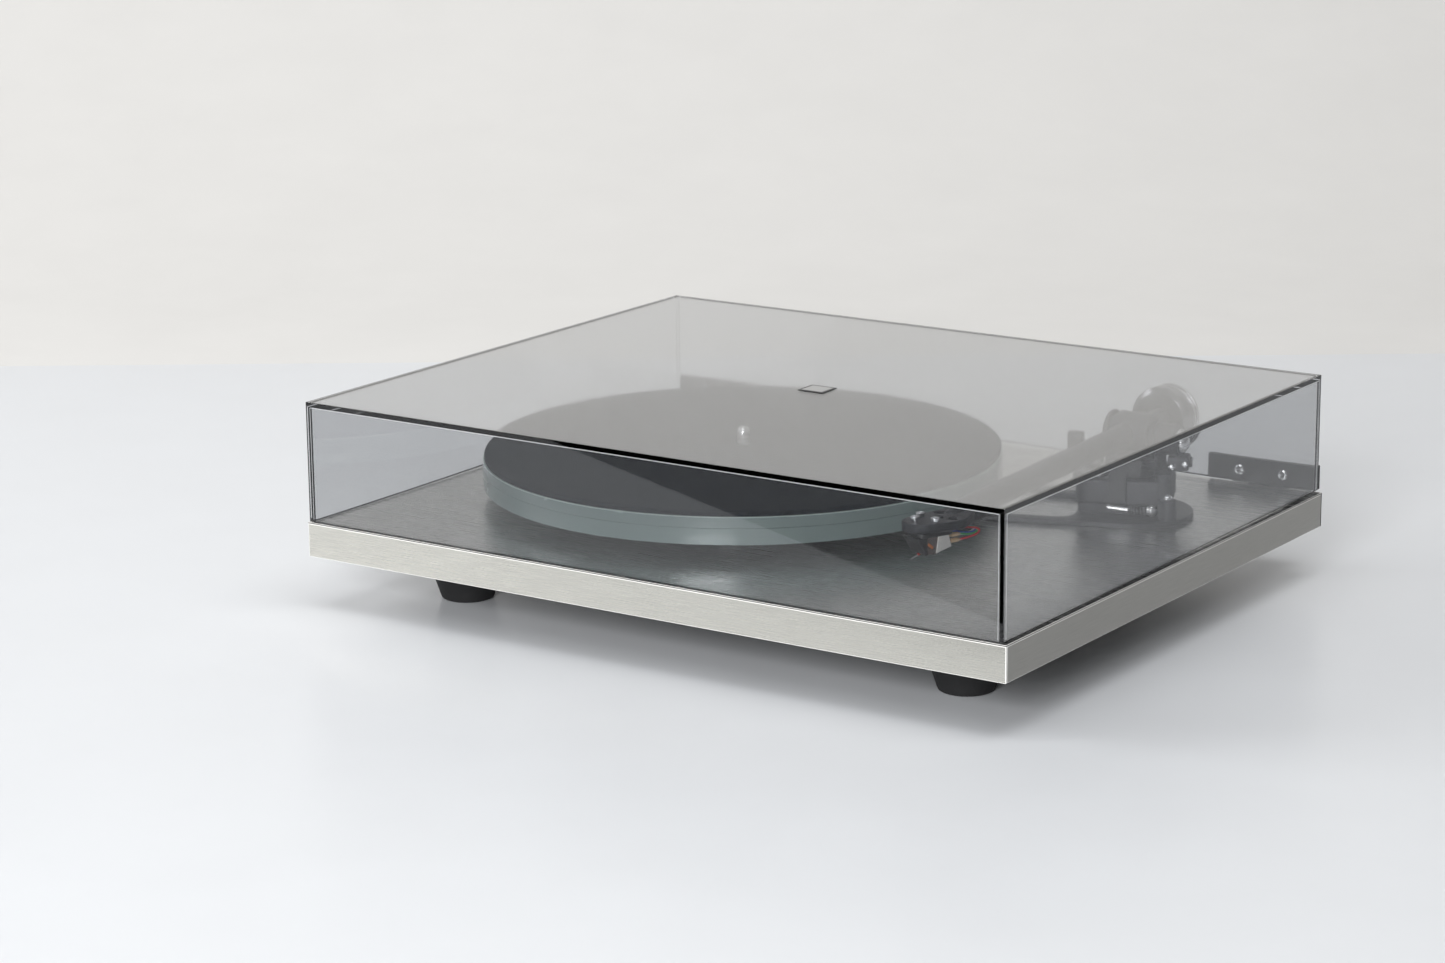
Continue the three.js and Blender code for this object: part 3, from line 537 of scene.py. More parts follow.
def build_feet():
    for node in ("foot_front_left", "foot_front_right", "foot_rear"):
        low, high = span(node)
        x, y = (low.x + high.x) / 2, (low.y + high.y) / 2
        widest = (high.x - low.x) / 2
        tall = high.z - low.z
        sole, waist, waist_height = widest * 0.645, widest * 0.79, 12.5
        outline = [(0, 0), (sole - 2, 0), (sole - 0.6, 0.6), (sole, 2), (waist, waist_height)]
        ribs = 5
        pitch = (tall - waist_height - 2.5) / ribs
        for rib in range(ribs):
            base = waist_height + rib * pitch
            out = waist + (widest - waist) * (rib + 1) / ribs
            outline += [(out - 1.2, base + 0.3), (out, base + 0.9), (out, base + pitch - 0.7),
                        (out - 1.0, base + pitch - 0.2)]
        outline += [(widest, tall - 2), (widest, tall), (0, tall)]
        foot = lathe(soften(outline, 0.5), 80)
        piece(f"ribbed_{node}", [(foot, RUBBER)], DECK @ shift(x, y, low.z), "deck", [node])


def build_braces():
    span_length = math.hypot(PIVOT.x - HUB.x, PIVOT.y - HUB.y)
    line = DECK @ shift(HUB.x, HUB.y) @ turn_z(math.atan2(PIVOT.y - HUB.y, PIVOT.x - HUB.x))

    def stadium(half):
        return arc(0, 0, half, 90, 270, 40) + arc(span_length, 0, half, -90, 90, 40)

    window = soften([(58, -26), (192, -26), (192, 26), (58, 26)], 12, closed=True, steps=8)
    low, high = span("top_brace")
    holes = [window, circle(0, 0, 14.3), circle(span_length, 0, ARM_HOLE)]
    top = sheet([stadium(33.5)] + holes, low.z, high.z, 0.5, 3)
    piece("upper_brace", [(top, SATIN_BLACK)], line, "deck", ["top_brace"])
    low, high = span("bottom_brace")
    holes = [circle(0, 0, HUB_HOLE), circle(span_length, 0, ARM_HOLE)]
    bottom = sheet([stadium(22)] + holes, low.z, high.z, 0.4)
    piece("lower_brace", [(bottom, ALUMINIUM)], line, "deck", ["bottom_brace"])


# ---------------------------------------------------------------- drive and platter

ON_HUB = DECK @ shift(HUB.x, HUB.y)
ON_MOTOR = DECK @ shift(MOTOR.x, MOTOR.y)


def build_hub():
    housing = [(0, -26), (9, -26), (9, 0.1), (14, 0.1), (14, 3.2), (5.3, 3.2), (5.3, -23.5),
               (0, -23.5)]
    piece("bearing_housing", [(lathe(soften(housing, 0.4)), BRASS)], ON_HUB, "deck",
          ["hub_bearing_housing"])
    low, high = span("hub_bearing_nut")
    nut = sheet([hexagon(27), circle(0, 0, HUB_HOLE)], low.z, high.z, 0.5)
    piece("bearing_nut", [(nut, STEEL)], ON_HUB, "deck", ["hub_bearing_nut"])

    top = span("spindle")[1].z
    shaft = [(0, -23.2), (5, -23.2), (5, 17.5), (3.55, 17.5), (3.55, top - 3), (3.05, top - 1.2),
             (1.6, top - 0.2), (0, top)]
    piece("centre_spindle", [(lathe(soften(shaft, 0.4)), BRIGHT_STEEL)], ON_HUB, "platter",
          ["spindle"])

    rim = [(5.3, 4.2), (55, 4.2), (55, 5.4), (54.2, 5.8), (54.2, 8.8), (55, 9.2), (55, 10.4), (44, 12.4),
           (44, 17.5), (5.3, 17.5)]
    wheel = lathe(soften(rim, 0.3, closed=True), 128, closed=True)
    piece("drive_wheel", [(wheel, ALUMINIUM)], ON_HUB, "platter", ["sub_platter"])


def layer(inner, outer, bottom, top, rounding):
    """A flat ring of the platter."""
    outline = [(inner, bottom), (outer, bottom), (outer, top), (inner, top)]
    return lathe(soften(outline, rounding, closed=True), 180, closed=True)


def build_platter():
    low, high = span("platter_ring")
    outer = (high.x - low.x) / 2
    ring = layer(116, outer, low.z, high.z, 0.35)
    piece("glass_ring", [(ring, GLASS_BODY)], ON_HUB, "platter", ["platter_ring"])
    low, high = span("platter_disc")
    upper = layer(3.85, outer, low.z, high.z - 0.1, 0.35)
    # The top outer rim takes the glass painted lighter as a highlight.
    trim = layer(outer - 1.1, outer, high.z - 0.9, high.z, 0.3)
    piece("glass_disc", [(upper, GLASS_BODY), (trim, GLASS_RIM_HIGHLIGHT)], ON_HUB, "platter",
          ["platter_disc"])
    low, high = span("platter_mat")
    felt = layer(4, (high.x - low.x) / 2, low.z, high.z, 0.8)
    piece("felt_mat", [(felt, FELT)], ON_HUB, "platter", ["platter_mat"])


def build_motor():
    body = [(0, -26), (18.5, -26), (20, -24.5), (20, -2.7), (18.5, -1.2), (0, -1.2)]
    piece("motor_can", [(lathe(soften(body, 0.5)), STEEL)], ON_MOTOR, "deck",
          ["motor_body"])
    flange = span("motor_cover")[1].z
    cup = [(0, -29.5), (21.8, -29.5), (22.8, -28.5), (22.8, flange - 1.4), (29, flange - 1.4),
           (29, flange), (20.8, flange), (20.8, -28), (0, -28)]
    parts = [(lathe(soften(cup, 0.5)), MOULDED)]
    for angle in (0.5, 2.6, 4.7):
        screw = lathe(soften([(0, 0), (2.2, 0), (2.2, -0.9), (1.2, -1.3), (0, -1.3)], 0.2), 24)
        spot = shift(26 * math.cos(angle), 26 * math.sin(angle), flange - 1.4)
        parts.append((placed(screw, spot), STEEL))
    piece("motor_cup", parts, ON_MOTOR, "deck", ["motor_cover"])


def build_pulley():
    pulley = [(0, -0.9), (1.6, -0.9), (1.6, 3.4), (8, 3.4), (8, 5.4), (7.2, 5.8), (7.2, 8.8), (8, 9.2),
              (8, 11.4), (7.4, 12), (0, 12)]
    piece("pulley", [(lathe(soften(pulley, 0.2)), ALUMINIUM)], ON_MOTOR, "pulley",
          ["motor_pulley"])


def build_sockets():
    low, high = span("power_socket")
    middle = (low + high) / 2
    parts = [(cad_copy("power_socket", 0.5, 3.0), MOULDED)]
    collar = soften([(2.8, 0), (4.4, 0), (4.4, 0.8), (2.8, 0.8)], 0.2, closed=True)
    collar = lathe(collar, 32, closed=True)
    parts.append((placed(collar, shift(middle.x, high.y - 0.8, middle.z) @ ALONG_Y), STEEL))
    piece("power_inlet", parts, DECK, "deck", ["power_socket"])
    low, high = span("cable_gland")
    x, y = (low.x + high.x) / 2, (low.y + high.y) / 2
    profile = [(2.6, low.z), (5, low.z), (5, low.z + 1.4), (4.4, low.z + 1.8), (5.4, low.z + 2.8),
               (4.8, low.z + 3.2), (6, low.z + 4.5), (8, low.z + 4.5), (8, high.z), (2.6, high.z)]
    gland = lathe(soften(profile, 0.3, closed=True), 48, closed=True)
    piece("signal_gland", [(gland, MOULDED)], DECK @ shift(x, y), "deck",
          ["cable_gland"])


# ---------------------------------------------------------------- cover and hinges


def socket_screw(radius, height, shank, depth):
    """A domed screw with a socket, its seat at zero and its shank below."""
    dome = [(0, -depth), (shank, -depth), (shank, 0), (radius, 0), (radius, height * 0.45),
            (radius * 0.75, height * 0.9), (radius * 0.5, height), (radius * 0.46, height * 0.35),
            (0, height * 0.3)]
    return lathe(soften(dome, 0.12), 36)


def cap_screw(radius, height, shank, depth):
    """A straight-sided screw with a deep socket."""
    profile = [(0, -depth), (shank, -depth), (shank, 0), (radius, 0), (radius, height),
               (radius * 0.55, height), (radius * 0.5, height * 0.2), (0, height * 0.15)]
    return lathe(soften(profile, 0.18), 36)


COVER_WALL = 3
STRIP_SKIN = 0.06    # clear plastic in front of a strip
STRIP_DEPTH = 0.3
STRIP_EDGE = 0.08


def strip_places(low, high):
    """Where strips lie just under two opposite walls' outer faces, as (near, far) along one axis."""
    first, last = low + STRIP_SKIN, high - STRIP_SKIN
    return (first, first + STRIP_DEPTH), (last - STRIP_DEPTH, last)


def strip(low, high):
    return block(low, high, STRIP_EDGE, 1)


def joint_highlight_strips():
    """Near-white strips just under the outer faces round each wall of the cover, along its joints, painted
    highlights for the light that its edges catch.
    """
    low, high = span("dust_cover")
    half, foot = 0.17, 1.8
    joint_z = high.z - COVER_WALL
    under, over = joint_z - half, joint_z + half
    left, right = low.x + COVER_WALL, high.x - COVER_WALL
    front, rear = low.y + COVER_WALL, high.y - COVER_WALL
    seams = []
    for near, far in strip_places(low.y, high.y):
        seams.append(strip((left, near, under), (right, far, over)))
        seams += [strip((x - half, near, foot), (x + half, far, joint_z)) for x in (left, right)]
    for near, far in strip_places(low.x, high.x):
        seams.append(strip((near, front, under), (far, rear, over)))
        seams += [strip((near, y - half, foot), (far, y + half, joint_z)) for y in (front, rear)]
    return [(seam, JOINT_HIGHLIGHT_PAINT) for seam in seams]


def rim_painted_shade():
    """A black strip along the lower edge of the cover's walls, painted shade for the dark gap under them,
    which rises towards the hinges.
    """
    low, high = span("dust_cover")
    front_lift, rear_lift, tall, inset = 0.45, 1.55, 0.55, 0.4
    edges = [strip((low.x + inset, near, 0), (high.x - inset, far, tall))
             for near, far in strip_places(low.y, high.y)]
    edges += [strip((near, low.y + inset, 0), (far, high.y - inset, tall))
              for near, far in strip_places(low.x, high.x)]
    slope = (rear_lift - front_lift) / (high.y - low.y)
    for edge in edges:
        for vert in edge.verts:
            vert.co.z += front_lift + slope * (vert.co.y - low.y)
    return [(edge, RIM_SHADE_PAINT) for edge in edges]


def build_cover():
    shell = cad_copy("dust_cover", 0.3, 40.0)
    piece("clear_cover", [(shell, ACRYLIC)] + joint_highlight_strips() + rim_painted_shade(), DECK, "cover",
          ["dust_cover"])
    low, high = span("cover_badge")
    border = block(low, (high.x, high.y, high.z - 0.1), 0.12)
    face = block((low.x + 1.6, low.y + 1.6, low.z + 0.1), (high.x - 1.6, high.y - 1.6, high.z), 0.08)
    piece("blank_badge", [(border, BADGE_BORDER), (face, BADGE_FACE)], DECK, "cover",
          ["cover_badge"])


def build_hinges():
    for side in ("left", "right"):
        for name, body, node in (("leaf", "cover", f"cover_hinge_{side}"),
                                 ("socket", "deck", f"hinge_bracket_{side}")):
            piece(f"hinge_{name}_{side}", [(cad_copy(node, 0.5, 3.0), MOULDED)], DECK, body,
                  [node])
        low, high = span(f"hinge_pin_{side}")
        middle = (low + high) / 2
        half, radius = (high.x - low.x) / 2, (high.z - low.z) / 2
        pin = lathe(soften([(0, -half), (radius, -half), (radius, half), (0, half)], 0.4), 32)
        piece(f"steel_pin_{side}", [(placed(pin, ALONG_X), STEEL)], DECK @ Matrix.Translation(middle),
              "deck", [f"hinge_pin_{side}"])
        for place in ("outer", "inner"):
            node = f"hinge_screw_{side}_{place}"
            low, high = span(node)
            seat = low.y + 1.8
            screw = placed(socket_screw(3, 1.8, 1.6, high.y - seat), UPRIGHT)
            piece(f"cover_screw_{side}_{place}", [(screw, CHROME)],
                  DECK @ shift((low.x + high.x) / 2, seat, (low.z + high.z) / 2), "cover",
                  [node])


# ---------------------------------------------------------------- tonearm base

BLOCK_FRONT = -17.5
BLOCK_SHOULDER = 27.6


def build_arm_base():
    left, right, front, rear = -31, 22.6, BLOCK_FRONT, 14
    foot = span("top_brace")[1].z
    step, top = 9, 23
    main = sheet([rounded_rectangle(left, front, right, rear, 9)], step, top, 1.6, 4)
    raised = sheet([rounded_rectangle(13.8, front, right, rear, 5)], step + 2, BLOCK_SHOULDER, 0.8, 3)
    seat = foot + 0.05
    lower = sheet([rounded_rectangle(left + 1.5, front + 3, right - 1, rear - 0.5, 6)], seat, step + 1, 0.6)
    boss = lathe(soften([(0, seat), (5, seat), (5, 14.5), (0, 14.5)], 0.8), 48)
    column = lathe(soften([(0, -28), (11, -28), (11, foot + 2), (0, foot + 2)], 0.6), 64)
    collar = soften([(11.5, top - 0.5), (13.2, top - 0.5), (13.2, top + 0.2), (11.5, top + 0.2)], 0.2,
                    closed=True)
    collar = lathe(collar, 64, closed=True)
    boss_x, boss_y = 21.5, -21
    placed(boss, shift(boss_x, boss_y))
    parts = [(part, POWDER) for part in (main, raised, lower, boss, column)] + [(collar, MOULDED)]
    piece("arm_block", parts, BASE, "deck", ["arm_base"])
    piece("block_screw", [(socket_screw(2.9, 2, 1.4, 0.2), CHROME)],
          BASE @ shift(boss_x, boss_y, 14.8), "deck", ["arm_base_screw"])
    low, high = span("arm_mount_nut")
    nut = sheet([hexagon(33), circle(0, 0, ARM_HOLE)], low.z, high.z, 0.6)
    piece("mount_nut", [(nut, STEEL)], BASE, "deck", ["arm_mount_nut"])


def build_arm_rest():
    front = BLOCK_FRONT
    post = block((-11, front - 2.8, 12), (-1.5, front - 0.3, BLOCK_SHOULDER), 0.5)
    pad_outline = soften([(-11.5, 26), (6.5, 26), (6.5, 35.4), (4.5, 35.4), (3.2, 34.2), (-8.2, 34.2),
                          (-9.5, 35.4), (-11.5, 35.4)], 1.2, closed=True)
    pad = placed(sheet([pad_outline], -(front - 1.0), -(front - 2.8), 0.3), UPRIGHT)
    piece("rest_bracket", [(post, MOULDED), (pad, MOULDED)], BASE, "deck",
          ["arm_rest"])


def build_bias():
    low, high, start, end, axis = 27.9, 35.5, 19.8, 31.2, 31.8
    parts = [(block((start, -9, low), (end, 3, high), 0.7, 3), POWDER)]
    for x, z in ((start + 2.1, 29.9), (end - 2.0, 31.6)):
        screw = placed(socket_screw(1.9, 1.1, 0.8, 0.3), UPRIGHT)
        parts.append((placed(screw, shift(x, -9, z)), CHROME))
    piece("bias_bar", parts, BASE, "deck", ["bias_housing"])
    knob = [(0, start + 4), (2, start + 4), (2, end + 0.3), (2.9, end + 0.3), (2.9, end + 1.5),
            (0, end + 1.5)]
    piece("bias_pull", [(placed(lathe(soften(knob, 0.25), 40), ALONG_X), MOULDED)],
          BASE @ shift(0, -3, axis), "bias_knob", ["bias_slider"])


def build_cueing_lever():
    stem = [(0, -3.2), (2, -2.5), (3.2, -0.4), (3.2, 0.4), (2.4, 2.2), (1.6, 3)]
    ball = placed(lathe(soften(stem + [(0, 3)], 0.9), 40), ALONG_X)
    grip_profile = [(0, 2.6), (1.9, 2.6), (2.3, 3.6)]
    for groove in range(4):
        base = 4.2 + groove * 1.7
        grip_profile += [(2.3, base), (1.9, base + 0.3), (1.9, base + 0.7), (2.3, base + 1.0)]
    grip_profile += [(2.3, 10.9), (3, 11.2), (3, 12.8), (0, 13.2)]
    grip = placed(lathe(soften(grip_profile, 0.15), 40), ALONG_X)
    finger = lathe(soften([(0, 0), (1.3, 0), (1.3, 11.6), (0.8, 12.2), (0, 12.2)], 0.3), 32)
    placed(finger, ALONG_X)
    stub = Matrix.Rotation(math.pi - 0.02, 4, "Y")
    placed(ball, stub)
    placed(grip, stub)
    placed(finger, shift(-12.6, 0, -0.2) @ Matrix.Rotation(math.pi + 0.1, 4, "Y"))
    pivot = placed(lathe(soften([(0, 0.5), (1.6, 0.5), (1.6, 4.2), (0, 4.2)], 0.3), 32), ALONG_Y)
    parts = [(ball, BRIGHT_STEEL), (grip, SATIN_BLACK), (finger, BRIGHT_STEEL), (pivot, STEEL)]
    piece("lift_lever", parts, BASE @ shift(13, -22, 8), "cueing_lever", ["cue_lever"])


def build_lift():
    under, first, last = 28.3, -188.5, -110.6
    sweep = arc(0, 0, 33, first, last, 40) + arc(0, 0, 28, last, first, 40)
    runner = sheet([sweep], under, 31.4, 0.6, 3)
    web = placed(block((-30, -2.5, under), (-17, 2.5, 30.6), 0.5), turn_z(0.506))
    stop_outline = soften([(-1.5, under), (5, under), (5, 41.9), (-1.5, 41.9)], 2.6, closed=True, steps=6)
    stop = placed(sheet([stop_outline], -36, -27.5, 0.6, 3), turn_z(-0.096) @ ON_EDGE)
    post = placed(lathe(soften([(0, 9.3), (3, 9.3), (3, 30), (0, 30)], 0.4), 40), shift(-17.5, -9.7))
    piece("lift_runner", [(runner, MOULDED), (web, MOULDED), (stop, MOULDED), (post, STEEL)], BASE,
          "cueing_platform", ["lift_platform"])


# ---------------------------------------------------------------- tonearm

YOKE_LEFT = -10.1
CARTRIDGE_SCREWS = [(-4.2, -1.7), (-10.7, -6.35), (-10.7, 6.35)]


def build_yoke():
    floor, bed, stem = -20.7, -16, 5
    left, right, cheek = YOKE_LEFT, 17.5, 2.5
    disc = lathe(soften([(0, floor), (12.5, floor), (12.5, bed + 2), (0, bed + 2)], 0.7), 72)
    pin = lathe(soften([(0, -32.5), (6, -32.5), (6, floor + 1), (0, floor + 1)], 0.4), 48)
    bar = block((-stem, left, bed), (stem, right, -12.2), 0.7)
    outline = soften([(-stem, bed), (stem, bed), (stem + 0.6, -7)], 0.5) + arc(0, 0, 9, -51, 231, 48)
    outline += [(-stem - 0.6, -7)]
    cheeks = [placed(sheet([outline], -low - cheek, -low, 0.5, 3), UPRIGHT)
              for low in (left, right - cheek)]
    boss = soften([(3.3, right - 1), (7.5, right - 1), (7.5, 29.5), (3.3, 29.5)], 0.6, closed=True)
    boss = placed(lathe(boss, 56, closed=True), ALONG_Y)
    parts = [(part, POWDER) for part in (disc, pin, bar, *cheeks, boss)]
    piece("bearing_yoke", parts, ARM, "arm_bearing", ["arm_yoke"])

    cap = [(0, 21), (3, 21), (3, 29.8), (5.2, 29.8), (5.2, 30.8), (4, 32.2), (2, 32.9), (0, 33)]
    piece("end_cap", [(placed(lathe(soften(cap, 0.4), 48), ALONG_Y), BRIGHT_STEEL)], ARM, "arm_bearing",
          ["bearing_cap"])


def build_dial():
    inner = YOKE_LEFT - 0.3
    dial = [(0, inner - 2.4), (10, inner - 2.4), (11.4, inner - 1.6), (11.4, inner - 0.5), (10.8, inner),
            (0, inner)]
    parts = [(placed(lathe(soften(dial, 0.25), 96), ALONG_Y), POWDER)]
    ticks = 24
    for i in range(ticks):
        tick = block((-0.12, inner - 2.44, 8.3), (0.12, inner - 2.3, 9.6), 0.03, 1)
        parts.append((placed(tick, Matrix.Rotation(2 * math.pi * i / ticks, 4, "Y")), LEAD_LOOKS["white"]))
    piece("force_knob", parts, ARM, "force_dial", ["tracking_dial"])


def build_arm():
    rear = -63
    tube_profile = [(4, rear), (6, rear), (6, -16), (6.7, -14), (6.7, 10), (6.5, 60), (6.2, 180),
                    (6.1, 203), (5.4, 205), (4, 205)]
    along_tube = turn_z(TUBE_TOE) @ ALONG_X
    tube = placed(lathe(soften(tube_profile, 0.6, closed=True), 72, closed=True), along_tube)
    barrel = placed(lathe(soften([(0, -7.2), (11.5, -7.2), (11.5, 14.6), (0, 14.6)], 1.2), 72), ALONG_Y)
    outline = arc(-7, 0, 10, -90, 90, 32) + soften(
        [(-7, 10), (-12, 11), (-25, 12), (-34, 6), (-45, -5.6), (-40, -16.4), (-28, -13.2), (-12, -11.3),
         (-7, -10)], 5, steps=6)
    holes = [circle(x, y, 1.5, 24) for x, y in CARTRIDGE_SCREWS]
    holes += [circle(x, y, 2.6, 32) for x, y in ((-17.8, -0.5), (-23.5, -7.8), (-22.4, 6.1))]
    shell = sheet([outline] + holes, -1, 3.8, 0.9, 3)
    placed(shell, shift(ARM_LENGTH, 0) @ turn_z(-OFFSET_ANGLE))
    neck = lathe(soften([(0, 196), (6.1, 196), (6.1, 204), (4.6, 212), (0, 214)], 2.5), 56)
    placed(neck, along_tube)
    parts = [(part, POWDER) for part in (tube, barrel, shell, neck)]
    piece("tapered_arm", parts, ARM, "tonearm", ["arm_tube"], sharp=45)


def build_weight():
    radius, start, length, bore = 17.7, 36, 17, 6.3
    rear = -start - length
    profile = [(bore, rear), (radius - 2, rear), (radius, rear + 1.6)]
    for groove in range(2):
        base = rear + 3.2 + groove * 3.4
        profile += [(radius, base), (radius - 0.9, base + 0.35), (radius - 0.9, base + 1.0),
                    (radius, base + 1.35)]
    profile += [(radius, -start - 2), (radius - 3, -start), (bore + 1.4, -start), (bore, -start - 1)]
    weight = placed(lathe(soften(profile, 0.35, closed=True), 128, closed=True), ALONG_X)
    parts = [(weight, WEIGHT)]
    for base in (rear + 2.6, rear + 4.8, rear + 6.0, rear + 8.2):
        ring = soften([(radius - 0.6, base), (radius, base), (radius, base + 0.7),
                       (radius - 0.6, base + 0.7)], 0.12, closed=True)
        parts.append((placed(lathe(ring, 128, closed=True), ALONG_X), BRIGHT_STEEL))
    piece("steel_weight", parts, TUBE, "balance_weight", ["counterweight"])


def build_cartridge():
    flange = sheet([rounded_rectangle(-22, -8, -1, 8, 4)], -3.8, -1.3, 0.4)
    nose_outline = soften([(0.8, -3.4), (-1.5, -6.5), (-5, -13.2), (-6.2, -13.2), (-6.2, -3.4)], 0.8,
                          closed=True)
    nose = placed(sheet([nose_outline], -7, 7, 0.8, 3), UPRIGHT)
    amber_outline = soften([(-5.6, -3.4), (-5.6, -12.9), (-11.2, -13.1), (-12.8, -3.4)], 0.4, closed=True)
    amber = placed(sheet([amber_outline], -6.8, 6.8, 0.4), UPRIGHT)
    coil = placed(block((-2.0, -6.95, -0.8), (2.0, 6.95, 0.8), 0.35, 3),
                  shift(-7.9, 0, -8.4) @ Matrix.Rotation(math.radians(-40), 4, "Y"))
    back_outline = soften([(-11.8, -3.2), (-10.6, -12.8), (-20.6, -10.2), (-19, -3.2)], 0.5, closed=True)
    back = placed(sheet([back_outline], -6.4, 6.4, 0.3), UPRIGHT)
    parts = [(flange, MOULDED), (nose, MOULDED), (amber, AMBER), (coil, COPPER), (back, MOULDED)]
    plate_outline = soften([(-12.7, -3.6), (-11.2, -12.6), (-20.8, -10.3), (-18.9, -3.4)], 0.5, closed=True)
    for low, high in ((-7, -6.2), (6.2, 7)):
        parts.append((placed(sheet([plate_outline], low, high, 0.3, 3), UPRIGHT), SIDE_METAL))
    pin_profile = [(0, 19), (0.7, 19), (0.7, 22.5), (1.15, 22.6), (1.15, 26.4), (0.6, 26.9),
                   (0.6, 27.8), (0, 27.8)]
    for y in (4.2, -4.2):
        for z in (-5.2, -8.2):
            pin = lathe(soften(pin_profile, 0.1), 20)
            parts.append((placed(pin, shift(0, y, z) @ Matrix.Rotation(-math.pi / 2, 4, "Y")), GOLD))
    piece("cartridge", parts, HEAD, "tonearm", ["cartridge_body"])


def build_stylus():
    tip = wire([(-6.2, 0, -13.4), (-4.2, 0, -14.2), (-2, 0, -15.1), (-0.4, 0, -15.5)], 0.34)
    point = lathe(soften([(0, -16), (0.12, -15.8), (0.3, -15.3), (0, -15.2)], 0.05), 16)
    placed(point, shift(-0.4, 0))
    plug = placed(lathe(soften([(0, 0), (0.75, 0), (0.6, 1.2), (0, 1.3)], 0.2), 24),
                  shift(-5.9, 0, -13.3) @ Matrix.Rotation(math.radians(112), 4, "Y"))
    piece("cantilever", [(tip, BRIGHT_STEEL), (point, CHROME), (plug, RED_DOT)], HEAD, "tonearm",
          ["stylus"])


def build_head_screws():
    for number, (x, y) in enumerate(CARTRIDGE_SCREWS, 1):
        screw = placed(cap_screw(2.3, 2.1, 1.2, 5), shift(0, 0, 3.9))
        piece(f"head_screw_{number}", [(screw, CHROME)], HEAD @ shift(x, y), "tonearm",
              [f"cartridge_screw_{number}"])


def build_leads():
    leads = {"red": (5.4, 4.2, -8.2), "green": (3.4, 4.2, -5.2), "blue": (1.4, -4.2, -5.2),
             "white": (-0.6, -4.2, -8.2)}
    for color, (y, pin_y, pin_z) in leads.items():
        route = [(-29, y, -1.9), (-33, y, -2.4), (-37.5, y * 0.9 + 0.5, -3.2),
                 (-40, y * 0.8 + 0.8, -5), (-37.5, y * 0.9 + 0.5, -7),
                 (-32, (y + pin_y) / 2, (pin_z - 7.4) / 2), (-27.2, pin_y, pin_z)]
        piece(f"wire_{color}", [(wire(route, 0.52), LEAD_LOOKS[color])], HEAD, "tonearm",
              [f"lead_{color}"])


dress("plinth_core", FOAM)
dress("plinth_bottom_skin", UNDERSIDE)
dress("drive_belt", BELT)
build_plinth()
build_feet()
build_braces()
build_hub()
build_platter()
build_motor()
build_pulley()
build_sockets()
build_cover()
build_hinges()
build_arm_base()
build_arm_rest()
build_bias()
build_cueing_lever()
build_lift()
build_yoke()
build_dial()
build_arm()
build_weight()
build_cartridge()
build_stylus()
build_head_screws()
build_leads()

# ---------------------------------------------------------------- stage and light


def stage_sheet(name, points, width, look, place):
    """A wide sheet through points of (distance beyond the object, height)."""
    bm = bmesh.new()
    rows = [[bm.verts.new((side * width / 2, y, z)) for side in (-1, 1)] for y, z in points]
    for near, far in zip(rows, rows[1:]):
        bm.faces.new((near[0], near[1], far[1], far[0]))
    bm.transform(place)
    mesh = bpy.data.meshes.new(name)
    for face in bm.faces:
        face.smooth = True
    bm.to_mesh(mesh)
    bm.free()
    mesh.materials.append(look)
    obj = bpy.data.objects.new(name, mesh)
    bpy.context.scene.collection.objects.link(obj)


TABLE = surface("table", (0.755, 0.774, 0.80), 0.3, grain=(90, 90, 90), tint=0.01, rough=0.02,
                bump=0, blotch=0.005)
BACKDROP = surface("backdrop", (0.80, 0.79, 0.77), 0.9, grain=(90, 90, 90), tint=0.01, bump=0,
                   blotch=0.01)
FLAG = surface("flag_cloth", (0.006, 0.006, 0.006), 0.9, Specular_IOR_Level=0.0)

VIEW_TURN = turn_z(math.radians(34.2))
STAGE_FRONT = -5
TABLE_END = 0.62       # how far beyond the object the table ends
BEND_START = 0.8       # where the backdrop starts to rise
BEND_RADIUS = 1.7
BEND_STEPS = 24
BACKDROP_DROP = 0.002  # how far its foot lies below the table
BACKDROP_TOP = 5
stage_sheet("floor", [(STAGE_FRONT, 0), (TABLE_END, 0)], 9, one_sided(TABLE), VIEW_TURN)
rise = [(TABLE_END, -BACKDROP_DROP), (BEND_START, -BACKDROP_DROP)]
for step in range(1, BEND_STEPS + 1):
    angle = math.pi / 2 * step / BEND_STEPS
    rise.append((BEND_START + BEND_RADIUS * math.sin(angle),
                 BEND_RADIUS - BACKDROP_DROP - BEND_RADIUS * math.cos(angle)))
rise.append((BEND_START + BEND_RADIUS, BACKDROP_TOP))
stage_sheet("backdrop", rise, 12, one_sided(BACKDROP), VIEW_TURN)


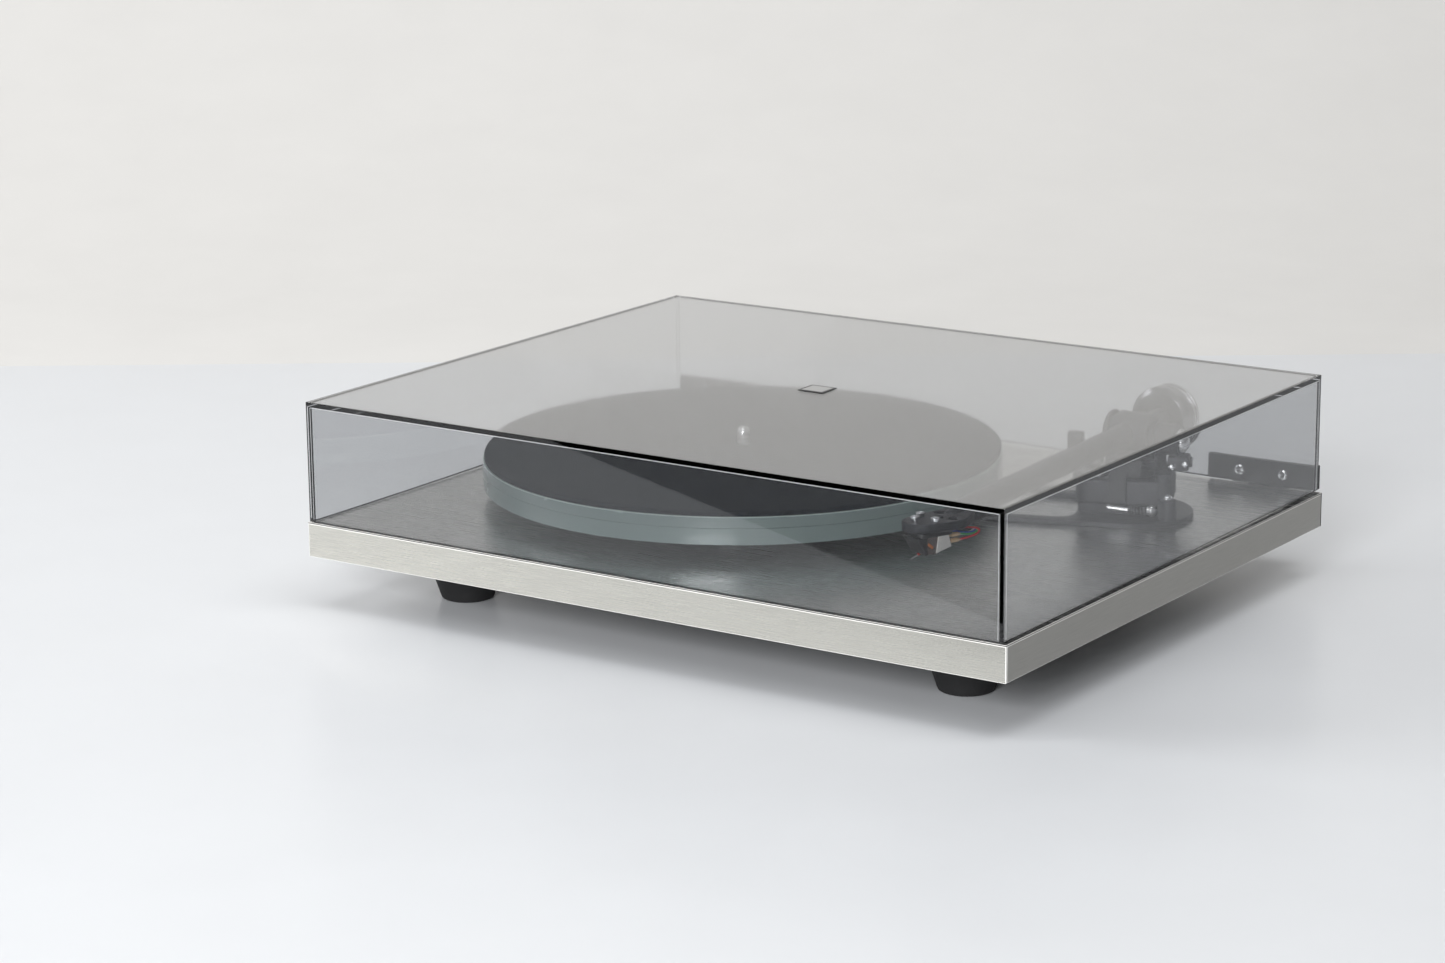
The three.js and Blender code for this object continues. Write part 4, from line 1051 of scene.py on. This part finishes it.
def flag(name, outline, height, near):
    """A dark card that only mirrors see, so that part of the front wall reflects no bright floor.

    Rays shorter than `near` pass through it, so that the table under it shows no edge of it.
    """
    bm = bmesh.new()
    bm.faces.new([bm.verts.new((x, y, height)) for x, y in outline])
    mesh = bpy.data.meshes.new(name)
    bm.to_mesh(mesh)
    bm.free()
    mesh.materials.append(far_only(FLAG, near))
    card = bpy.data.objects.new(name, mesh)
    card.visible_camera = False
    card.visible_diffuse = False
    card.visible_transmission = False
    card.visible_shadow = False
    bpy.context.scene.collection.objects.link(card)


def softbox(name, place, aim, size, power):
    """A lamp with a face of (width, height) at a place, turned towards its aim."""
    data = bpy.data.lights.new(name, "AREA")
    data.shape = "RECTANGLE"
    data.size, data.size_y = size
    data.energy = power
    lamp = bpy.data.objects.new(name, data)
    lamp.location = place
    direction = Vector(aim) - Vector(place)
    lamp.rotation_euler = direction.to_track_quat("-Z", "Y").to_euler()
    bpy.context.scene.collection.objects.link(lamp)


def toward(x, y, z):
    """A point given across, beyond and above, as seen from the camera."""
    return VIEW_TURN @ Vector((x, y, z))


# In front of the object and to its right, in the frame's own X and Y.
FLAG_OUTLINE = [(-1.224, -0.979), (1.359, 0.205), (2.2, -1.6), (-0.4, -2.8)]
flag("front_flag", FLAG_OUTLINE, 0.0006, 0.1)
softbox("overhead", toward(0, -0.6, 2.4), (0, 0, 0), (2.0, 1.2), 16)
softbox("left_key", toward(-2.2, 0.1, 1.2), (0, 0, 0), (1.2, 1.0), 22)
softbox("front_fill", toward(-0.7, -2.4, 0.9), toward(-0.15, -0.3, 0), (1.0, 0.8), 62)
softbox("backdrop_wash", toward(0, -0.3, 2.6), toward(0, 2.6, 1.6), (3.0, 0.6), 40)

world = bpy.data.worlds.new("studio")
bpy.context.scene.world = world
world.use_nodes = True
ambient = world.node_tree.nodes["Background"].inputs
ambient["Color"].default_value = (0.97, 0.98, 1.0, 1)
ambient["Strength"].default_value = 0.08
bpy.context.scene.view_settings.view_transform = "Standard"
